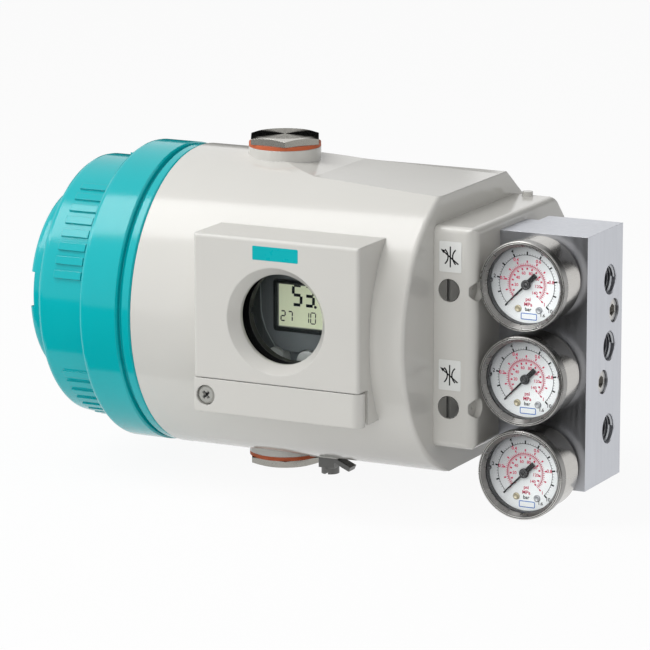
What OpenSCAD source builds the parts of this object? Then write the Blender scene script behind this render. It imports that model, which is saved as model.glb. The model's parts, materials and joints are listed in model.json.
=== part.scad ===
// Valve positioner in a round flameproof housing, with a gauge manifold on its end.
// The frame: the origin is where the feedback shaft's axis leaves the mounting face,
// +X runs along the housing to the gauges, +Y out of the mounting face, +Z up.
// The modules work in the housing's own axis frame, with X = 0 at the cap joint.

/* [Housing] */
// Radius of the round housing
body_r = 68.5; // [67:0.5:70]
// Length of the housing from the cap joint to its end face
body_len = 134.5; // [132:0.1:140]
// Thickness of the cast wall
wall = 8; // [7:0.5:9]
// Thickness of the end wall under the pneumatic block
end_wall = 6.3; // [5:0.1:9]
// Rounding of the edge round the end face
end_edge = 2; // [1:0.5:4]
// Depth of the flat on top below the housing's round
flat_top_cut = 7.8; // [6.5:0.1:9]
// Depth of the flat underneath below the housing's round
flat_bottom_cut = 3.5; // [2.5:0.5:5]
// Where the slope down to the flat on top begins
flat_start_x = 42; // [38:0.5:46]
// Length of the steep part of that slope
flat_ramp = 28; // [24:1:32]
// Distance from the housing axis back to the mounting face
axis_depth = 66; // [64:0.5:70]
// Half the height of the mounting face
pad_half_h = 40; // [34:1:44]
// Depth of the inside behind the axis, up to the back wall
cavity_back = 44; // [42:0.5:46]
// Length of the threaded neck that carries the cap
neck_len = 20; // [16:0.5:22]
// Step from the cap's outside in to the neck
neck_step = 9.5; // [9:0.5:11]
// Wall of the neck
neck_wall = 7; // [5:0.5:9]

/* [Cap] */
// Radius of the cap's flange
cap_r = 68.5; // [67.5:0.5:71]
// Step from the cap's flange in to its narrow grip
grip_step = 8.6; // [7.5:0.1:10]
// Where the flange steps down to the grip
flange_len = 27; // [25:0.5:29]
// Length of the cap from the joint to its end face
cap_len = 53.5; // [50:0.1:57]
// Wall of the cap
cap_wall = 5; // [4:0.5:7]
// Step from the grip in to the raised boss on the cap's end
boss_step = 14.9; // [12:0.1:18]
// Height of the raised boss
cap_boss_h = 13; // [11:0.5:15]
// Width of the key slot across the boss
cap_slot_w = 16; // [12:1:24]
// Depth of the key slot
cap_slot_d = 3; // [2:0.5:4]
// Ribs in each group on the grip
ribs_per_group = 8; // [6:1:9]
// Height of a grip rib
rib_h = 0.9; // [0.5:0.1:1.5]
// Angle between two ribs of a group
rib_pitch = 6.15; // [5.5:0.05:7]
// Turn of the first rib group from straight up, towards the front
rib_start = 32.5; // [25:0.5:40]

/* [Window box] */
// Height of the box's front face above the housing's round
box_rise = 10.2; // [9:0.1:12]
// Distance from the window's centre to the left end of the box
box_left = 40.4; // [39:0.1:42]
// Distance from the window's centre to the right end of the box
box_right = 40.3; // [39:0.1:42]
// Height of the box above the axis
box_top = 44.6; // [43:0.1:47]
// Depth of the box below the axis
box_bottom = 35.2; // [34.5:0.1:37]
// Rounding of the edge round the box's front face
box_edge = 1.5; // [0.5:0.1:2]
// Distance from the window's centre to the housing's end face
window_end = 56.6; // [55:0.1:58]
// Height of the window's centre
window_z = 8.5; // [7.5:0.5:9.5]
// Radius of the window's clear opening
window_r = 20.1; // [18:0.1:21]
// Radius of the conical recess at the face
window_mouth_r = 23.9; // [22.5:0.1:24.5]
// Depth of the conical recess
window_recess = 5.5; // [4:0.5:6]
// Radius of the glass disc
glass_r = 24; // [23:0.5:25]
// Thickness of the glass disc
glass_t = 8; // [6:0.5:9]

/* [Keys] */
// Height of the key cover
cover_h = 15.2; // [14:0.1:16]
// Thickness of the key cover
cover_t = 5.5; // [4.5:0.5:6]
// Radius of the cover's hinge knuckle
knuckle_r = 4.3; // [4:0.1:4.6]
// Radius of the cover's hinge pin
pin_r = 1.5; // [1.2:0.1:1.8]
// Distance from the first key to the window's centre
key_left = 23.8; // [21:0.1:25]
// Distance from key to key
key_pitch = 16; // [14:0.5:18]
// Height of the key plungers below the axis
key_drop = 27; // [26.5:0.1:28]
// Radius of a plunger's stem
stem_r = 1.5; // [1.2:0.1:2]
// Radius of a plunger's head
key_head_r = 3.4; // [3:0.1:3.8]
// Travel of a key
key_travel = 2; // [1:0.5:2.5]

/* [Cable plugs] */
// Cable entry axis along the housing
plug_x = 42.5; // [41:0.5:44]
// Width across the flats of a plug's hexagon
plug_af = 30.5; // [27:0.5:32]
// Height of a plug's hexagon
plug_head_h = 3.6; // [3:0.1:8]
// Radius of a plug's thread
plug_thread_r = 10; // [8:0.5:11]
// Radius of the boss under a plug
plug_boss_r = 16.4; // [16:0.1:17]
// Height of the upper boss's face above the housing's round
plug_boss_rise = 3; // [2:0.5:5]
// Depth of the lower boss's face below the housing's round
plug_boss_sink = 1; // [0.5:0.5:3]
// Thickness of a plug's sealing ring
gasket_t = 1.8; // [1:0.1:3]

/* [Feedback shaft] */
// Distance from the feedback shaft to the housing's end face
shaft_end = 68.5; // [66:0.5:70]
// Radius of the feedback shaft
shaft_r = 4; // [3.5:0.5:4.5]
// Length of shaft that stands out of the mounting face
shaft_out = 15; // [10:1:25]
// Spacing of the mounting threads along the housing
mount_dx = 58; // [50:1:64]
// Spacing of the mounting threads up the housing
mount_dz = 33; // [28:1:44]
// Wall radius of a mounting thread
mount_r = 3.4; // [2.5:0.1:4.2]
// Depth of a mounting thread
mount_depth = 14; // [8:1:16]
// Wall of the shaft's bushes
bush_wall = 2; // [1.5:0.5:2.5]
// Gear module
gear_m = 0.8; // [0.6:0.1:0.9]
// Teeth of the drive gear on the shaft
gear_teeth = 60; // [52:4:64]
// Teeth of the pinion on the position sensor
pinion_teeth = 20; // [16:2:22]
// Face width of the gears
gear_w = 6; // [4:0.5:7]

/* [Electronics] */
// Distance from the axis to the display module's front
module_front = 31; // [29:0.5:33]
// Distance from the window's centre to the display module's left edge
module_left = 32.3; // [31:0.1:34]
// Width of the display module
module_w = 64; // [60:0.5:66]
// Height of the display module
module_h = 70; // [66:0.5:72]
// Wall of the display module's cover
module_wall = 2; // [1.5:0.5:2.5]
// Distance from the window's centre to the display's left edge
lcd_left = 22.5; // [21:0.1:24]
// Width of the display
lcd_w = 44; // [40:0.5:46]
// Lower edge of the display
lcd_z0 = -4.2; // [-6:0.1:-3]
// Height of the display
lcd_h = 18.9; // [17:0.1:20]
// Thickness of the circuit board
board_t = 1.6; // [1:0.1:2]
// Thickness of the mounting plate behind the board
plate_t = 2.5; // [2:0.5:3]

/* [Pneumatic block] */
// Width of the block along the housing
pneu_w = 19.8; // [18:0.1:24]
// Front face of the block in front of the axis
pneu_front = 37.7; // [35:0.1:40]
// Back face of the block behind the axis
pneu_back = 60; // [58:0.5:62]
// Top of the block above the axis
pneu_top = 49; // [47:0.5:51]
// Underside of the block below the axis
pneu_low = 50; // [49:0.5:52]
// Rounding of the block's upright front edge
pneu_edge = 5; // [3:0.5:7]
// Radius of a restrictor screw's head
restrictor_r = 4.8; // [4.5:0.1:5.5]
// Height of the upper restrictor screw
restrictor_z1 = 20.9; // [18:0.1:24]
// Height of the lower restrictor screw
restrictor_z2 = -31.5; // [-34:0.1:-28]

/* [Gauge manifold] */
// Width of the manifold along the housing
block_w = 41.8; // [40:0.1:46]
// Front face of the manifold in front of the axis
block_front = 11.4; // [9:0.1:13]
// Depth of the manifold
block_depth = 39.4; // [38:0.1:44]
// Top of the manifold above the axis
block_top = 44.4; // [43:0.1:47]
// Height of the manifold
block_h = 113.9; // [112:0.1:120]
// Width of the step in the manifold's back corner
step_w = 6; // [4:0.5:9]
// Depth of the step in the manifold's back corner
step_d = 11; // [8:0.5:14]
// Wall radius of an air port
port_r = 6.5; // [5.5:0.05:6.6]
// Depth of an air port
port_depth = 14; // [10:1:16]
// Distance of the ports behind the axis
port_y = 14.4; // [13:0.1:16]
// Radius of the counterbores for the manifold's screws
bolt_head_r = 5; // [4.5:0.1:5.4]

/* [Gauges] */
// Radius of a gauge's bezel
bezel_r = 20; // [19:0.5:20.5]
// Distance from a gauge's centre to the manifold's left face
gauge_x = 21.3; // [20:0.1:22]
// Height of the upper gauge
gauge_z = 25.3; // [23:0.1:26]
// Distance from gauge to gauge
gauge_pitch = 42.1; // [41.5:0.1:44]
// Depth of a gauge from its front to the manifold
gauge_depth = 24.6; // [23:0.1:30]
// Radius of a gauge's connecting thread
gauge_thread_r = 4.6; // [4:0.1:5]
// Angle of a pointer at zero, from straight right
pointer_zero = 225; // [215:1:235]

/* [Hidden] */
$fn = 96;

// Overshoot of a cut beyond the face that it opens
cut = 1;
// Gap between two pieces that move past each other
gap = 0.4;
// Radial clearance of a pin or shaft that turns or slides in its bore
fit = 0.05;
// Radial clearance of the cap on its neck
cap_gap = 0.3;

// Housing
cavity_r = body_r - wall;
cavity_x1 = body_len - end_wall;
flat_top_z = body_r - flat_top_cut;
flat_knee = 0.63;
flat_knee_z = body_r - flat_knee * flat_top_cut;
flat_bottom_z = body_r - flat_bottom_cut;
neck_r = cap_r - neck_step;
neck_bore = neck_r - neck_wall;
shoulder_in = 2;
shoulder_x = plug_x + shoulder_in;
shoulder_y = 39;
pad_chamfer_y = 9;
pad_chamfer_z = 8;
chamfer_y = axis_depth - pad_chamfer_y;
chamfer_z = pad_half_h + pad_chamfer_z;
back_x0 = 4;
sole_y = 20.5;
sole_edge_y = 39;
sole_edge_z = 53;
neck_chamfer = 1;

// Cap
joint_gap = 0.8;
lip_end = 5.4;
lip_groove = 7.3;
lip_edge = 0.7;
lip_groove_d = 2.8;
lip_step = 0.5;
lip_r = cap_r - lip_step;
flange_edge = 2.6;
grip_r = cap_r - grip_step;
grip_edge = 3.4;
cap_boss_r = grip_r - boss_step;
boss_edge = 3.5;
boss_hollow = 7;
cap_slot_turn = -4.4;
skirt_r = neck_r + cap_gap;
skirt_room = 1.2;
skirt_len = neck_len + skirt_room;
cap_ledge = 1.5;
cap_cavity_r = grip_r - cap_wall - cap_ledge;
seal_x = 9;
seal_r = 1.1;
seal_mid_r = skirt_r + seal_r;
rib_w = 3.6;
rib_groups = 4;
rib_inset = 3.8;
rib_len = 13.8;

// Window
window_x = body_len - window_end;
box_front = body_r + box_rise;
box_x0 = window_x - box_left;
box_x1 = window_x + box_right;
lip_t = 2;
window_seal_t = 1;
window_seal_in = 0.5;
ring_t = 4;
ring_w = 3;
seat_y = -box_front + window_recess + lip_t;
glass_y0 = seat_y + window_seal_t;
glass_y1 = glass_y0 + glass_t;

// Key cover
cover_z0 = -box_bottom;
cover_z1 = cover_z0 + cover_h;
cover_over = 0.6;
pocket_room = 0.6;
pocket_y = -box_front + 2 * knuckle_r + pocket_room;
hinge_x = box_x1 + cover_over - knuckle_r;
hinge_y = -box_front + knuckle_r;
cover_back = -box_front + cover_t;
pin_seat = 8;
cover_screw_in = 5.7;
cover_screw_x = box_x0 + cover_screw_in;
cover_screw_z = cover_z0 + cover_h / 2;
cover_screw_r = 2;
cover_head_r = 4.1;
cover_head_t = 2.3;
cover_head_edge = 0.9;
cover_screw_reach = 4.4;
cover_screw_tip = pocket_y + cover_screw_reach;
cover_hole_gap = 1.2;
cover_hole_r = cover_screw_r + cover_hole_gap;

// Keys
key_x = window_x - key_left;
key_head_t = 2.2;
key_head_y0 = cover_back + gap;
key_head_y1 = key_head_y0 + key_head_t;
spring_room = 5.9;
key_seat_y = key_head_y1 + key_travel + spring_room;
pad_rise = 1.5;
pad_depth = 6;
pad_front = -module_front - pad_rise;
pad_back = -module_front + pad_depth;
pad_room = pad_back + key_travel + gap;
pad_r = 4.8;
pad_lift = 8;
pad_z = -key_drop + pad_lift;
wire_r = 0.4;
spring_gap = 0.3;
spring_r = stem_r + spring_gap + wire_r;
spring_turns = 3.5;

// Cable plugs
plug_boss_top = body_r + plug_boss_rise;
plug_boss_low = body_r + plug_boss_sink;
plug_depth = 17;
plug_edge = 1.2;
plug_face_in = 1;
plug_face_r = plug_af / 2 - plug_face_in;
plug_turn = -3.5;
gasket_in = 0.1;
gasket_r = plug_boss_r - gasket_in;

// Earth terminal
shaft_x = body_len - shaft_end;
earth_off = 28.9;
earth_x = plug_x + earth_off;
earth_y = -12;
earth_pad = 7;
earth_drop = 1.2;
earth_clamp_h = 5.4;
earth_clamp_half = 4;
earth_tongue_t = 2.2;
earth_tongue = 9;
earth_tongue_turn = 24;
earth_lap = 0.5;
earth_head_r = 4.1;
earth_head_t = 3;
earth_thread_r = 2.5;
earth_depth = 8;
earth_seat_z = -flat_bottom_z - earth_drop;

// Feedback shaft and gears, with Y from the housing axis
bush_len = 6;
bush_r = shaft_r + bush_wall;
bush_flange_t = 1.2;
bush_flange_w = 1.6;
shaft_seal_w = 4;
shaft_seal_r = shaft_r + shaft_seal_w;
shaft_seal_t = 4;
gear_y0 = 27;
clutch_y0 = 20.5;
clutch_t = 5.5;
clutch_r = 14;
clutch_notches = 24;
notch_r = 1;
clutch_room = 2;
circlip_t = 1;
circlip_groove = 0.6;
circlip_w = 2.6;
circlip_gap = 0.3;
circlip_y0 = cavity_back - bush_flange_t - circlip_t - circlip_gap;
shaft_over = 0.5;
shaft_y0 = clutch_y0 - shaft_over;
wear_groove_w = 0.8;
wear_groove_d = 0.3;
gear_r = gear_m * gear_teeth / 2;
pinion_r = gear_m * pinion_teeth / 2;
gear_hole_r = gear_r / 5;
gear_hole_at = gear_r * 0.62;
pinion_x = shaft_x + gear_r + pinion_r;
addendum = 0.88;
dedendum = 1.25;
pot_r = 11;
pot_h = 10;
pot_tail = 4;
pot_shaft_r = 2;
pot_room = 1;

// Electronics
plate_y0 = 16;
plate_y1 = plate_y0 + plate_t;
plate_x0 = 4;
plate_rim = 3;
plate_x1 = pinion_x + pot_r + plate_rim;
plate_half_h = 34;
post_r = 3;
post_inset = 6;
board_y0 = -2;
board_y1 = board_y0 + board_t;
module_x0 = window_x - module_left;
module_x1 = module_x0 + module_w;
lcd_x0 = window_x - lcd_left;
lcd_sink = 0.6;
lcd_flange = 2;
module_chamfer = 6;
module_step = 4;
face_inset = 0.6;
face_slope_x = 9.5;
face_slope_z0 = -15.5;
face_slope_z1 = -1.4;
post_dx = 16;
board_edge = 2;
strip_w = 18;
strip_h = 70;
strip_t = 20;
terminals = 8;
terminal_r = 2.4;
terminal_at = strip_w * 0.65;
valve_w = 16;
valve_d = 30;
valve_h = 56;

// Pneumatic block
pneu_x0 = body_len;
pneu_x1 = pneu_x0 + pneu_w;
pneu_top_edge = 3;
pneu_corner = 11.6;
side_bore_r = 4.3;
side_bore_depth = 3.1;
side_bore_in = 4.4;
side_floor = pneu_x1 - side_bore_depth;
side_hole_r = 0.7;
side_hole_depth = 2.5;
vent_r = 2.4;
vent_h = 2;
vent_y = pneu_back - pneu_corner - vent_r;
restrictor_in = 7.4;
restrictor_x = pneu_x0 + restrictor_in;
restrictor_gap = 0.3;
restrictor_slot = 1.9;
restrictor_head_t = 4;
restrictor_stem_r = 2.5;
restrictor_len = 16;
slot_w = 1.4;
slot_d = 1.3;

// Gauge manifold
block_x0 = pneu_x1;
block_x1 = block_x0 + block_w;
block_y0 = -block_front;
block_y1 = block_y0 + block_depth;
block_bottom = block_top - block_h;
port_zs = [21.3, -8.7, -46.3];
port_chamfer = 0.4;
duct_r = 2;
bolt_ys = [19, 7.6];
bolt_zs = [6.5, -23.8];
bolt_head_t = 5;
bolt_r = 3;
bolt_sink = 6;
bolt_reach = 9;
hex_af = 5;
hex_d = 2.6;
port_seal_r = 4.2;
port_seal_wire = 0.8;

// Gauges
gauge_mid_x = block_x0 + gauge_x;
gauges = 3;
bezel_h = 5;
bezel_lip = 1.4;
bezel_slope = 1.4;
bezel_edge = 0.8;
case_wall = 1;
case_round = 2;
case_r = bezel_r - 1;
case_gap = 2.2;
gauge_front = block_y0 - gauge_depth;
case_y0 = gauge_front + bezel_h;
case_y1 = block_y0 - case_gap;
glass_inset = 2;
gauge_glass_t = 1.2;
dial_t = 0.8;
dial_gap = 0.1;
dial_hole_gap = 0.3;
dial_y0 = case_y0 + 1.2;
pointer_t = 0.5;
pointer_y0 = dial_y0 - 1.6;
pointer_len = 13.5;
pointer_tail = 6.5;
pointer_w = 1;
tail_w = 2.2;
hub_r = 2.2;
spindle_r = 0.7;
spindle_back = 2;
socket_af = 14;
socket_len = 9;
tube_ring_r = 10;
tube_r = 1.8;
tube_sweep = 250;
tube_turn = 50;
tube_gap = 2;

function gauge_at(i) = gauge_z - i * gauge_pitch;
function key_at(i) = key_x + i * key_pitch;
// Points of a quarter round of radius r about [r0, x0], from turn a to turn b
function round_points(r0, x0, r, a, b) =
    [for (k = [0:4]) let (t = a + (b - a) * k / 4) [r0 + r * cos(t), x0 + r * sin(t)]];
// Outline of a spur gear: tapered teeth between the root and the tip circle
function gear_points(teeth, m) = [
    for (i = [0:teeth - 1], k = [0:3])
    let (
        share = [-0.29, -0.12, 0.12, 0.29][k],
        r = m * (teeth / 2 + ((k == 0 || k == 3) ? -dedendum : addendum)),
        t = (i + share) * 360 / teeth
    ) [r * cos(t), r * sin(t)]
];

// Round bar along X, Y or Z between two stations
module rod_x(x0, x1, r, y = 0, z = 0) {
    translate([x0, y, z]) rotate([0, 90, 0]) cylinder(h = x1 - x0, r = r);
}
module rod_y(y0, y1, r, x = 0, z = 0) {
    translate([x, y0, z]) rotate([-90, 0, 0]) cylinder(h = y1 - y0, r = r);
}
module rod_z(z0, z1, r, x = 0, y = 0) {
    translate([x, y, z0]) cylinder(h = z1 - z0, r = r);
}
// Box between two corners
module block(x0, x1, y0, y1, z0, z1) {
    translate([x0, y0, z0]) cube([x1 - x0, y1 - y0, z1 - z0]);
}
// Turned shapes about X, Y and Z, from points of radius and station
module turned_x(points) {
    rotate([0, 90, 0]) rotate_extrude() polygon(points);
}
module turned_y(points, x = 0, z = 0) {
    translate([x, 0, z]) rotate([-90, 0, 0]) rotate_extrude() polygon(points);
}
module turned_z(points, x = 0, y = 0) {
    translate([x, y, 0]) rotate_extrude() polygon(points);
}
// Ring along Y between two radii
module ring_y(y0, y1, r0, r1, x = 0, z = 0) {
    turned_y([[r0, y0], [r1, y0], [r1, y1], [r0, y1]], x, z);
}
// Slab along X from a Y-Z outline, or along Y from an X-Z outline
module slab_x(x0, x1) {
    translate([x0, 0, 0]) rotate([90, 0, 90]) linear_extrude(x1 - x0) children();
}
module slab_y(y0, y1) {
    translate([0, y1, 0]) rotate([90, 0, 0]) linear_extrude(y1 - y0) children();
}
// Slab along Z from an X-Y outline
module slab_z(z0, z1) {
    translate([0, 0, z0]) linear_extrude(z1 - z0) children();
}
module rect(x0, x1, y0, y1) {
    translate([x0, y0]) square([x1 - x0, y1 - y0]);
}
module chamfered_rect(x0, x1, y0, y1, c) {
    polygon([
        [x0 + c, y0], [x1 - c, y0], [x1, y0 + c], [x1, y1 - c],
        [x1 - c, y1], [x0 + c, y1], [x0, y1 - c], [x0, y0 + c]
    ]);
}
// Moves the housing's axis frame into the part's frame
module in_part_frame() {
    translate([-shaft_x, -axis_depth, 0]) children();
}

// Casting of the housing: round barrel, squared back, window box, bosses
module barrel() {
    turned_x(concat(
        [[0, -neck_len], [neck_r - neck_chamfer, -neck_len], [neck_r, neck_chamfer - neck_len]],
        [[neck_r, 0], [body_r, 0]],
        round_points(body_r - end_edge, body_len - end_edge, end_edge, 0, 90),
        [[0, body_len]]
    ));
}
module squared_back() {
    slab_x(back_x0, body_len) polygon([
        [-sole_edge_y, -sole_edge_z], [-sole_y, -flat_bottom_z], [shoulder_y, -flat_bottom_z],
        [chamfer_y, -chamfer_z], [axis_depth, -pad_half_h], [axis_depth, pad_half_h],
        [chamfer_y, chamfer_z], [0, chamfer_z]
    ]);
    slab_x(shoulder_x, body_len) polygon([
        [0, 0], [chamfer_y, 0], [chamfer_y, chamfer_z], [shoulder_y, flat_top_z], [0, flat_top_z]
    ]);
}
module window_box() {
    hull() for (t = [0:30:90]) {
        inset = box_edge * (1 - cos(t));
        depth = box_edge * (1 - sin(t));
        block(box_x0 + inset, box_x1 - inset, depth - box_front, 0, inset - box_bottom, box_top - inset);
    }
}
module plug_bosses() {
    rod_z(-plug_boss_low, plug_boss_top, plug_boss_r, plug_x);
}
module earth_boss() {
    block(earth_x - earth_pad, earth_x + earth_pad, earth_y - earth_pad, earth_y + earth_pad,
        earth_seat_z, 0);
}
module top_flat_cut() {
    top = body_r + 2 * cut;
    slab_y(-body_r, body_r) polygon([
        [flat_start_x, body_r], [flat_start_x + flat_ramp, flat_knee_z], [body_len, flat_top_z],
        [body_len + cut, flat_top_z], [body_len + cut, top], [flat_start_x, top]
    ]);
}
module bottom_flat_cut() {
    block(back_x0, body_len + cut, -body_r, axis_depth, -body_r - cut, -flat_bottom_z);
}
module cavity() {
    intersection() {
        rod_x(neck_wall, cavity_x1, cavity_r);
        block(0, cavity_x1, -cavity_r, cavity_back, wall - flat_bottom_z, flat_top_z - wall);
    }
    rod_x(-neck_len - cut, neck_wall + cut, neck_bore);
}
module window_cut() {
    slope = (window_mouth_r - window_r) / window_recess;
    turned_y([
        [0, -box_front - cut], [window_mouth_r + slope * cut, -box_front - cut],
        [window_r, window_recess - box_front], [window_r, seat_y], [glass_r + fit, seat_y],
        [glass_r + fit, -cavity_back], [0, -cavity_back]
    ], window_x, window_z);
}
module key_cuts() {
    block(box_x0 - cut, box_x1 + cut, -box_front - cut, pocket_y, -box_bottom - cut, cover_z1 + gap);
    for (i = [0:2]) {
        rod_y(pocket_y - cut, key_seat_y, key_head_r + gap, key_at(i), -key_drop);
        rod_y(pocket_y - cut, -cavity_back, stem_r + fit, key_at(i), -key_drop);
    }
    rod_z(cover_z1, cover_z1 + pin_seat + gap, pin_r + fit, hinge_x, hinge_y);
    rod_y(pocket_y - cut, cover_screw_tip + gap, cover_hole_r, cover_screw_x, cover_screw_z);
}
module shaft_cuts() {
    rod_y(cavity_back - cut, axis_depth + cut, bush_r, shaft_x);
    rod_y(axis_depth - shaft_seal_t, axis_depth + cut, shaft_seal_r, shaft_x);
    for (sx = [-1, 1], sz = [-1, 1]) {
        rod_y(axis_depth - mount_depth, axis_depth + cut, mount_r,
            shaft_x + sx * mount_dx / 2, sz * mount_dz / 2);
    }
}
module mounting_face_cut() {
    block(-cut, body_len + cut, axis_depth, body_r + axis_depth, -body_r, body_r);
}
module main_housing() {
    color("#d9d5cf") in_part_frame() difference() {
        union() {
            difference() {
                union() {
                    barrel();
                    squared_back();
                }
                top_flat_cut();
                bottom_flat_cut();
            }
            window_box();
            plug_bosses();
            earth_boss();
        }
        cavity();
        window_cut();
        key_cuts();
        shaft_cuts();
        mounting_face_cut();
        rod_z(-plug_boss_low - cut, plug_boss_top + cut, plug_thread_r + fit, plug_x);
        rod_z(earth_seat_z - cut, earth_seat_z + earth_depth, earth_thread_r + fit, earth_x, earth_y);
    }
}

// Screw cap with grip ribs, a lip at the joint and a slotted boss on its end
module cap_ribs() {
    group_turn = 360 / rib_groups;
    for (g = [0:rib_groups - 1], i = [0:ribs_per_group - 1]) {
        rotate([rib_start + g * group_turn + i * rib_pitch, 0, 0])
            block(-flange_len - rib_inset - rib_len, -flange_len - rib_inset,
                -rib_w / 2, rib_w / 2, cap_cavity_r + cap_wall / 2, grip_r + rib_h);
    }
}
module screw_cap() {
    grip_x0 = -cap_len;
    boss_x0 = grip_x0 - cap_boss_h;
    color("#00a3a8") in_part_frame() difference() {
        union() {
            turned_x(concat(
                [[0, -joint_gap], [lip_r - lip_edge, -joint_gap], [lip_r, -joint_gap - lip_edge]],
                [[lip_r, lip_edge - lip_end], [lip_r - lip_edge, -lip_end]],
                [[cap_r - lip_groove_d, -lip_end], [cap_r - lip_groove_d, -lip_groove]],
                [[cap_r - lip_edge, -lip_groove], [cap_r, -lip_groove - lip_edge]],
                round_points(cap_r - flange_edge, flange_edge - flange_len, flange_edge, 0, -90),
                [[grip_r, -flange_len]],
                round_points(grip_r - grip_edge, grip_x0 + grip_edge, grip_edge, 0, -90),
                [[cap_boss_r, grip_x0]],
                round_points(cap_boss_r - boss_edge, boss_x0 + boss_edge, boss_edge, 0, -90),
                [[0, boss_x0]]
            ));
            cap_ribs();
        }
        rod_x(-skirt_len, 0, skirt_r);
        rod_x(cap_wall - cap_len, cut - skirt_len, cap_cavity_r);
        rod_x(boss_x0 + boss_hollow, cap_wall + cut - cap_len, cap_boss_r - boss_hollow);
        turned_x([
            [neck_bore, -seal_x - seal_r], [seal_mid_r + seal_r + fit, -seal_x - seal_r],
            [seal_mid_r + seal_r + fit, -seal_x + seal_r], [neck_bore, -seal_x + seal_r]
        ]);
        rotate([cap_slot_turn, 0, 0]) block(boss_x0 - cut, boss_x0 + cap_slot_d,
            -cap_r, cap_r, -cap_slot_w / 2, cap_slot_w / 2);
    }
}
module cap_seal() {
    color("#202020") in_part_frame() rotate([0, 90, 0]) rotate_extrude()
        translate([seal_mid_r, -seal_x]) circle(seal_r - fit, $fn = 32);
}

// Window: seal, glass disc and the ring that holds them from inside
module window_seal() {
    color("#303030") in_part_frame()
        ring_y(seat_y, glass_y0, window_r + window_seal_in, glass_r, window_x, window_z);
}
module window_glass() {
    color("#cfe0e0", 0.35) in_part_frame() rod_y(glass_y0, glass_y1, glass_r, window_x, window_z);
}
module window_ring() {
    color("#8a8d90") in_part_frame() difference() {
        ring_y(glass_y1, glass_y1 + ring_t, glass_r - ring_w, glass_r, window_x, window_z);
        for (t = [0, 180]) {
            translate([window_x, 0, window_z]) rotate([0, t, 0])
                block(glass_r - ring_w - cut, glass_r - ring_w / 3, glass_y1 + ring_t / 2,
                    glass_y1 + ring_t + cut, -ring_w / 2, ring_w / 2);
        }
    }
}

// Flap over the keys, with its hinge pin and captive screw
module key_cover() {
    color("#d9d5cf") in_part_frame() difference() {
        union() {
            block(box_x0, hinge_x, -box_front, cover_back, cover_z0, cover_z1);
            rod_z(cover_z0, cover_z1, knuckle_r, hinge_x, hinge_y);
        }
        rod_z(cover_z0 - cut, cover_z1 + cut, pin_r + fit, hinge_x, hinge_y);
        rod_y(-box_front - cut, cover_back + cut, cover_screw_r + fit, cover_screw_x, cover_screw_z);
        rod_y(-box_front - cut, cover_head_t + gap - box_front, cover_head_r + gap,
            cover_screw_x, cover_screw_z);
    }
}
module key_cover_pin() {
    color("#b8babc") in_part_frame() rod_z(cover_z0, cover_z1 + pin_seat, pin_r, hinge_x, hinge_y);
}
module key_cover_screw() {
    head_y0 = gap - box_front;
    color("#b8babc") in_part_frame() difference() {
        union() {
            turned_y([
                [0, head_y0], [cover_head_r - cover_head_edge, head_y0],
                [cover_head_r, head_y0 + cover_head_edge], [cover_head_r, head_y0 + cover_head_t],
                [0, head_y0 + cover_head_t]
            ], cover_screw_x, cover_screw_z);
            rod_y(head_y0, cover_screw_tip, cover_screw_r, cover_screw_x, cover_screw_z);
        }
        translate([cover_screw_x, 0, cover_screw_z]) for (t = [45, 135]) {
            rotate([0, t, 0]) block(-cover_head_r / 2, cover_head_r / 2, head_y0 - cut,
                head_y0 + cover_head_t / 2, -slot_w / 2, slot_w / 2);
        }
    }
}

// Three keys: a plunger through the wall, the pad that it presses and its spring
module key_plunger(i) {
    color("#b8babc") in_part_frame() {
        rod_y(key_head_y0, key_head_y1, key_head_r, key_at(i), -key_drop);
        rod_y(key_head_y0, pad_front, stem_r, key_at(i), -key_drop);
    }
}
module pad_outline(i, r) {
    translate([key_at(i), pad_z]) circle(r);
    translate([key_at(i), -key_drop]) circle(r);
    rect(key_at(i) - r, key_at(i) + r, -key_drop, pad_z);
}
module key_pad(i) {
    color("#9a9c9c") in_part_frame() slab_y(pad_front, pad_back) pad_outline(i, pad_r);
}
module key_spring(i) {
    sides = 8;
    steps = 16 * spring_turns;
    rise = key_seat_y - key_head_y1 - 2 * wire_r;
    points = [
        for (s = [0:steps], k = [0:sides - 1])
        let (
            t = s * 360 * spring_turns / steps,
            r = spring_r + wire_r * cos(k * 360 / sides),
            y = key_head_y1 + wire_r + rise * s / steps + wire_r * sin(k * 360 / sides)
        ) [r * cos(t), y, r * sin(t)]
    ];
    walls = [
        for (s = [0:steps - 1], k = [0:sides - 1])
        let (a = s * sides + k, b = s * sides + (k + 1) % sides)
        [a, b, b + sides, a + sides]
    ];
    ends = [
        [for (k = [sides - 1:-1:0]) k],
        [for (k = [0:sides - 1]) steps * sides + k]
    ];
    color("#b8babc") in_part_frame() translate([key_at(i), 0, -key_drop])
        polyhedron(points, concat(walls, ends));
}

// Hexagon plugs in the two cable entries, with their sealing rings
module hex_plug(boss_z) {
    z0 = boss_z + gasket_t;
    z1 = z0 + plug_head_h;
    corner = plug_af / 2 / cos(30);
    rim = corner + cut;
    drop = plug_edge * (rim - plug_face_r) / (corner - plug_face_r);
    intersection() {
        translate([plug_x, 0, z0]) rotate(plug_turn) cylinder(h = plug_head_h, r = corner, $fn = 6);
        turned_z([
            [0, z0], [rim, z0], [rim, z1 - drop], [plug_face_r, z1], [0, z1]
        ], plug_x);
    }
    rod_z(boss_z - plug_depth, (z0 + z1) / 2, plug_thread_r, plug_x);
}
module plug_ring(boss_z) {
    turned_z([
        [plug_thread_r + gap, boss_z], [gasket_r, boss_z],
        [gasket_r, boss_z + gasket_t], [plug_thread_r + gap, boss_z + gasket_t]
    ], plug_x);
}
module plug_top() {
    color("#b0aca6") in_part_frame() hex_plug(plug_boss_top);
}
module plug_bottom() {
    color("#b0aca6") in_part_frame() mirror([0, 0, 1]) hex_plug(plug_boss_low);
}
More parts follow.
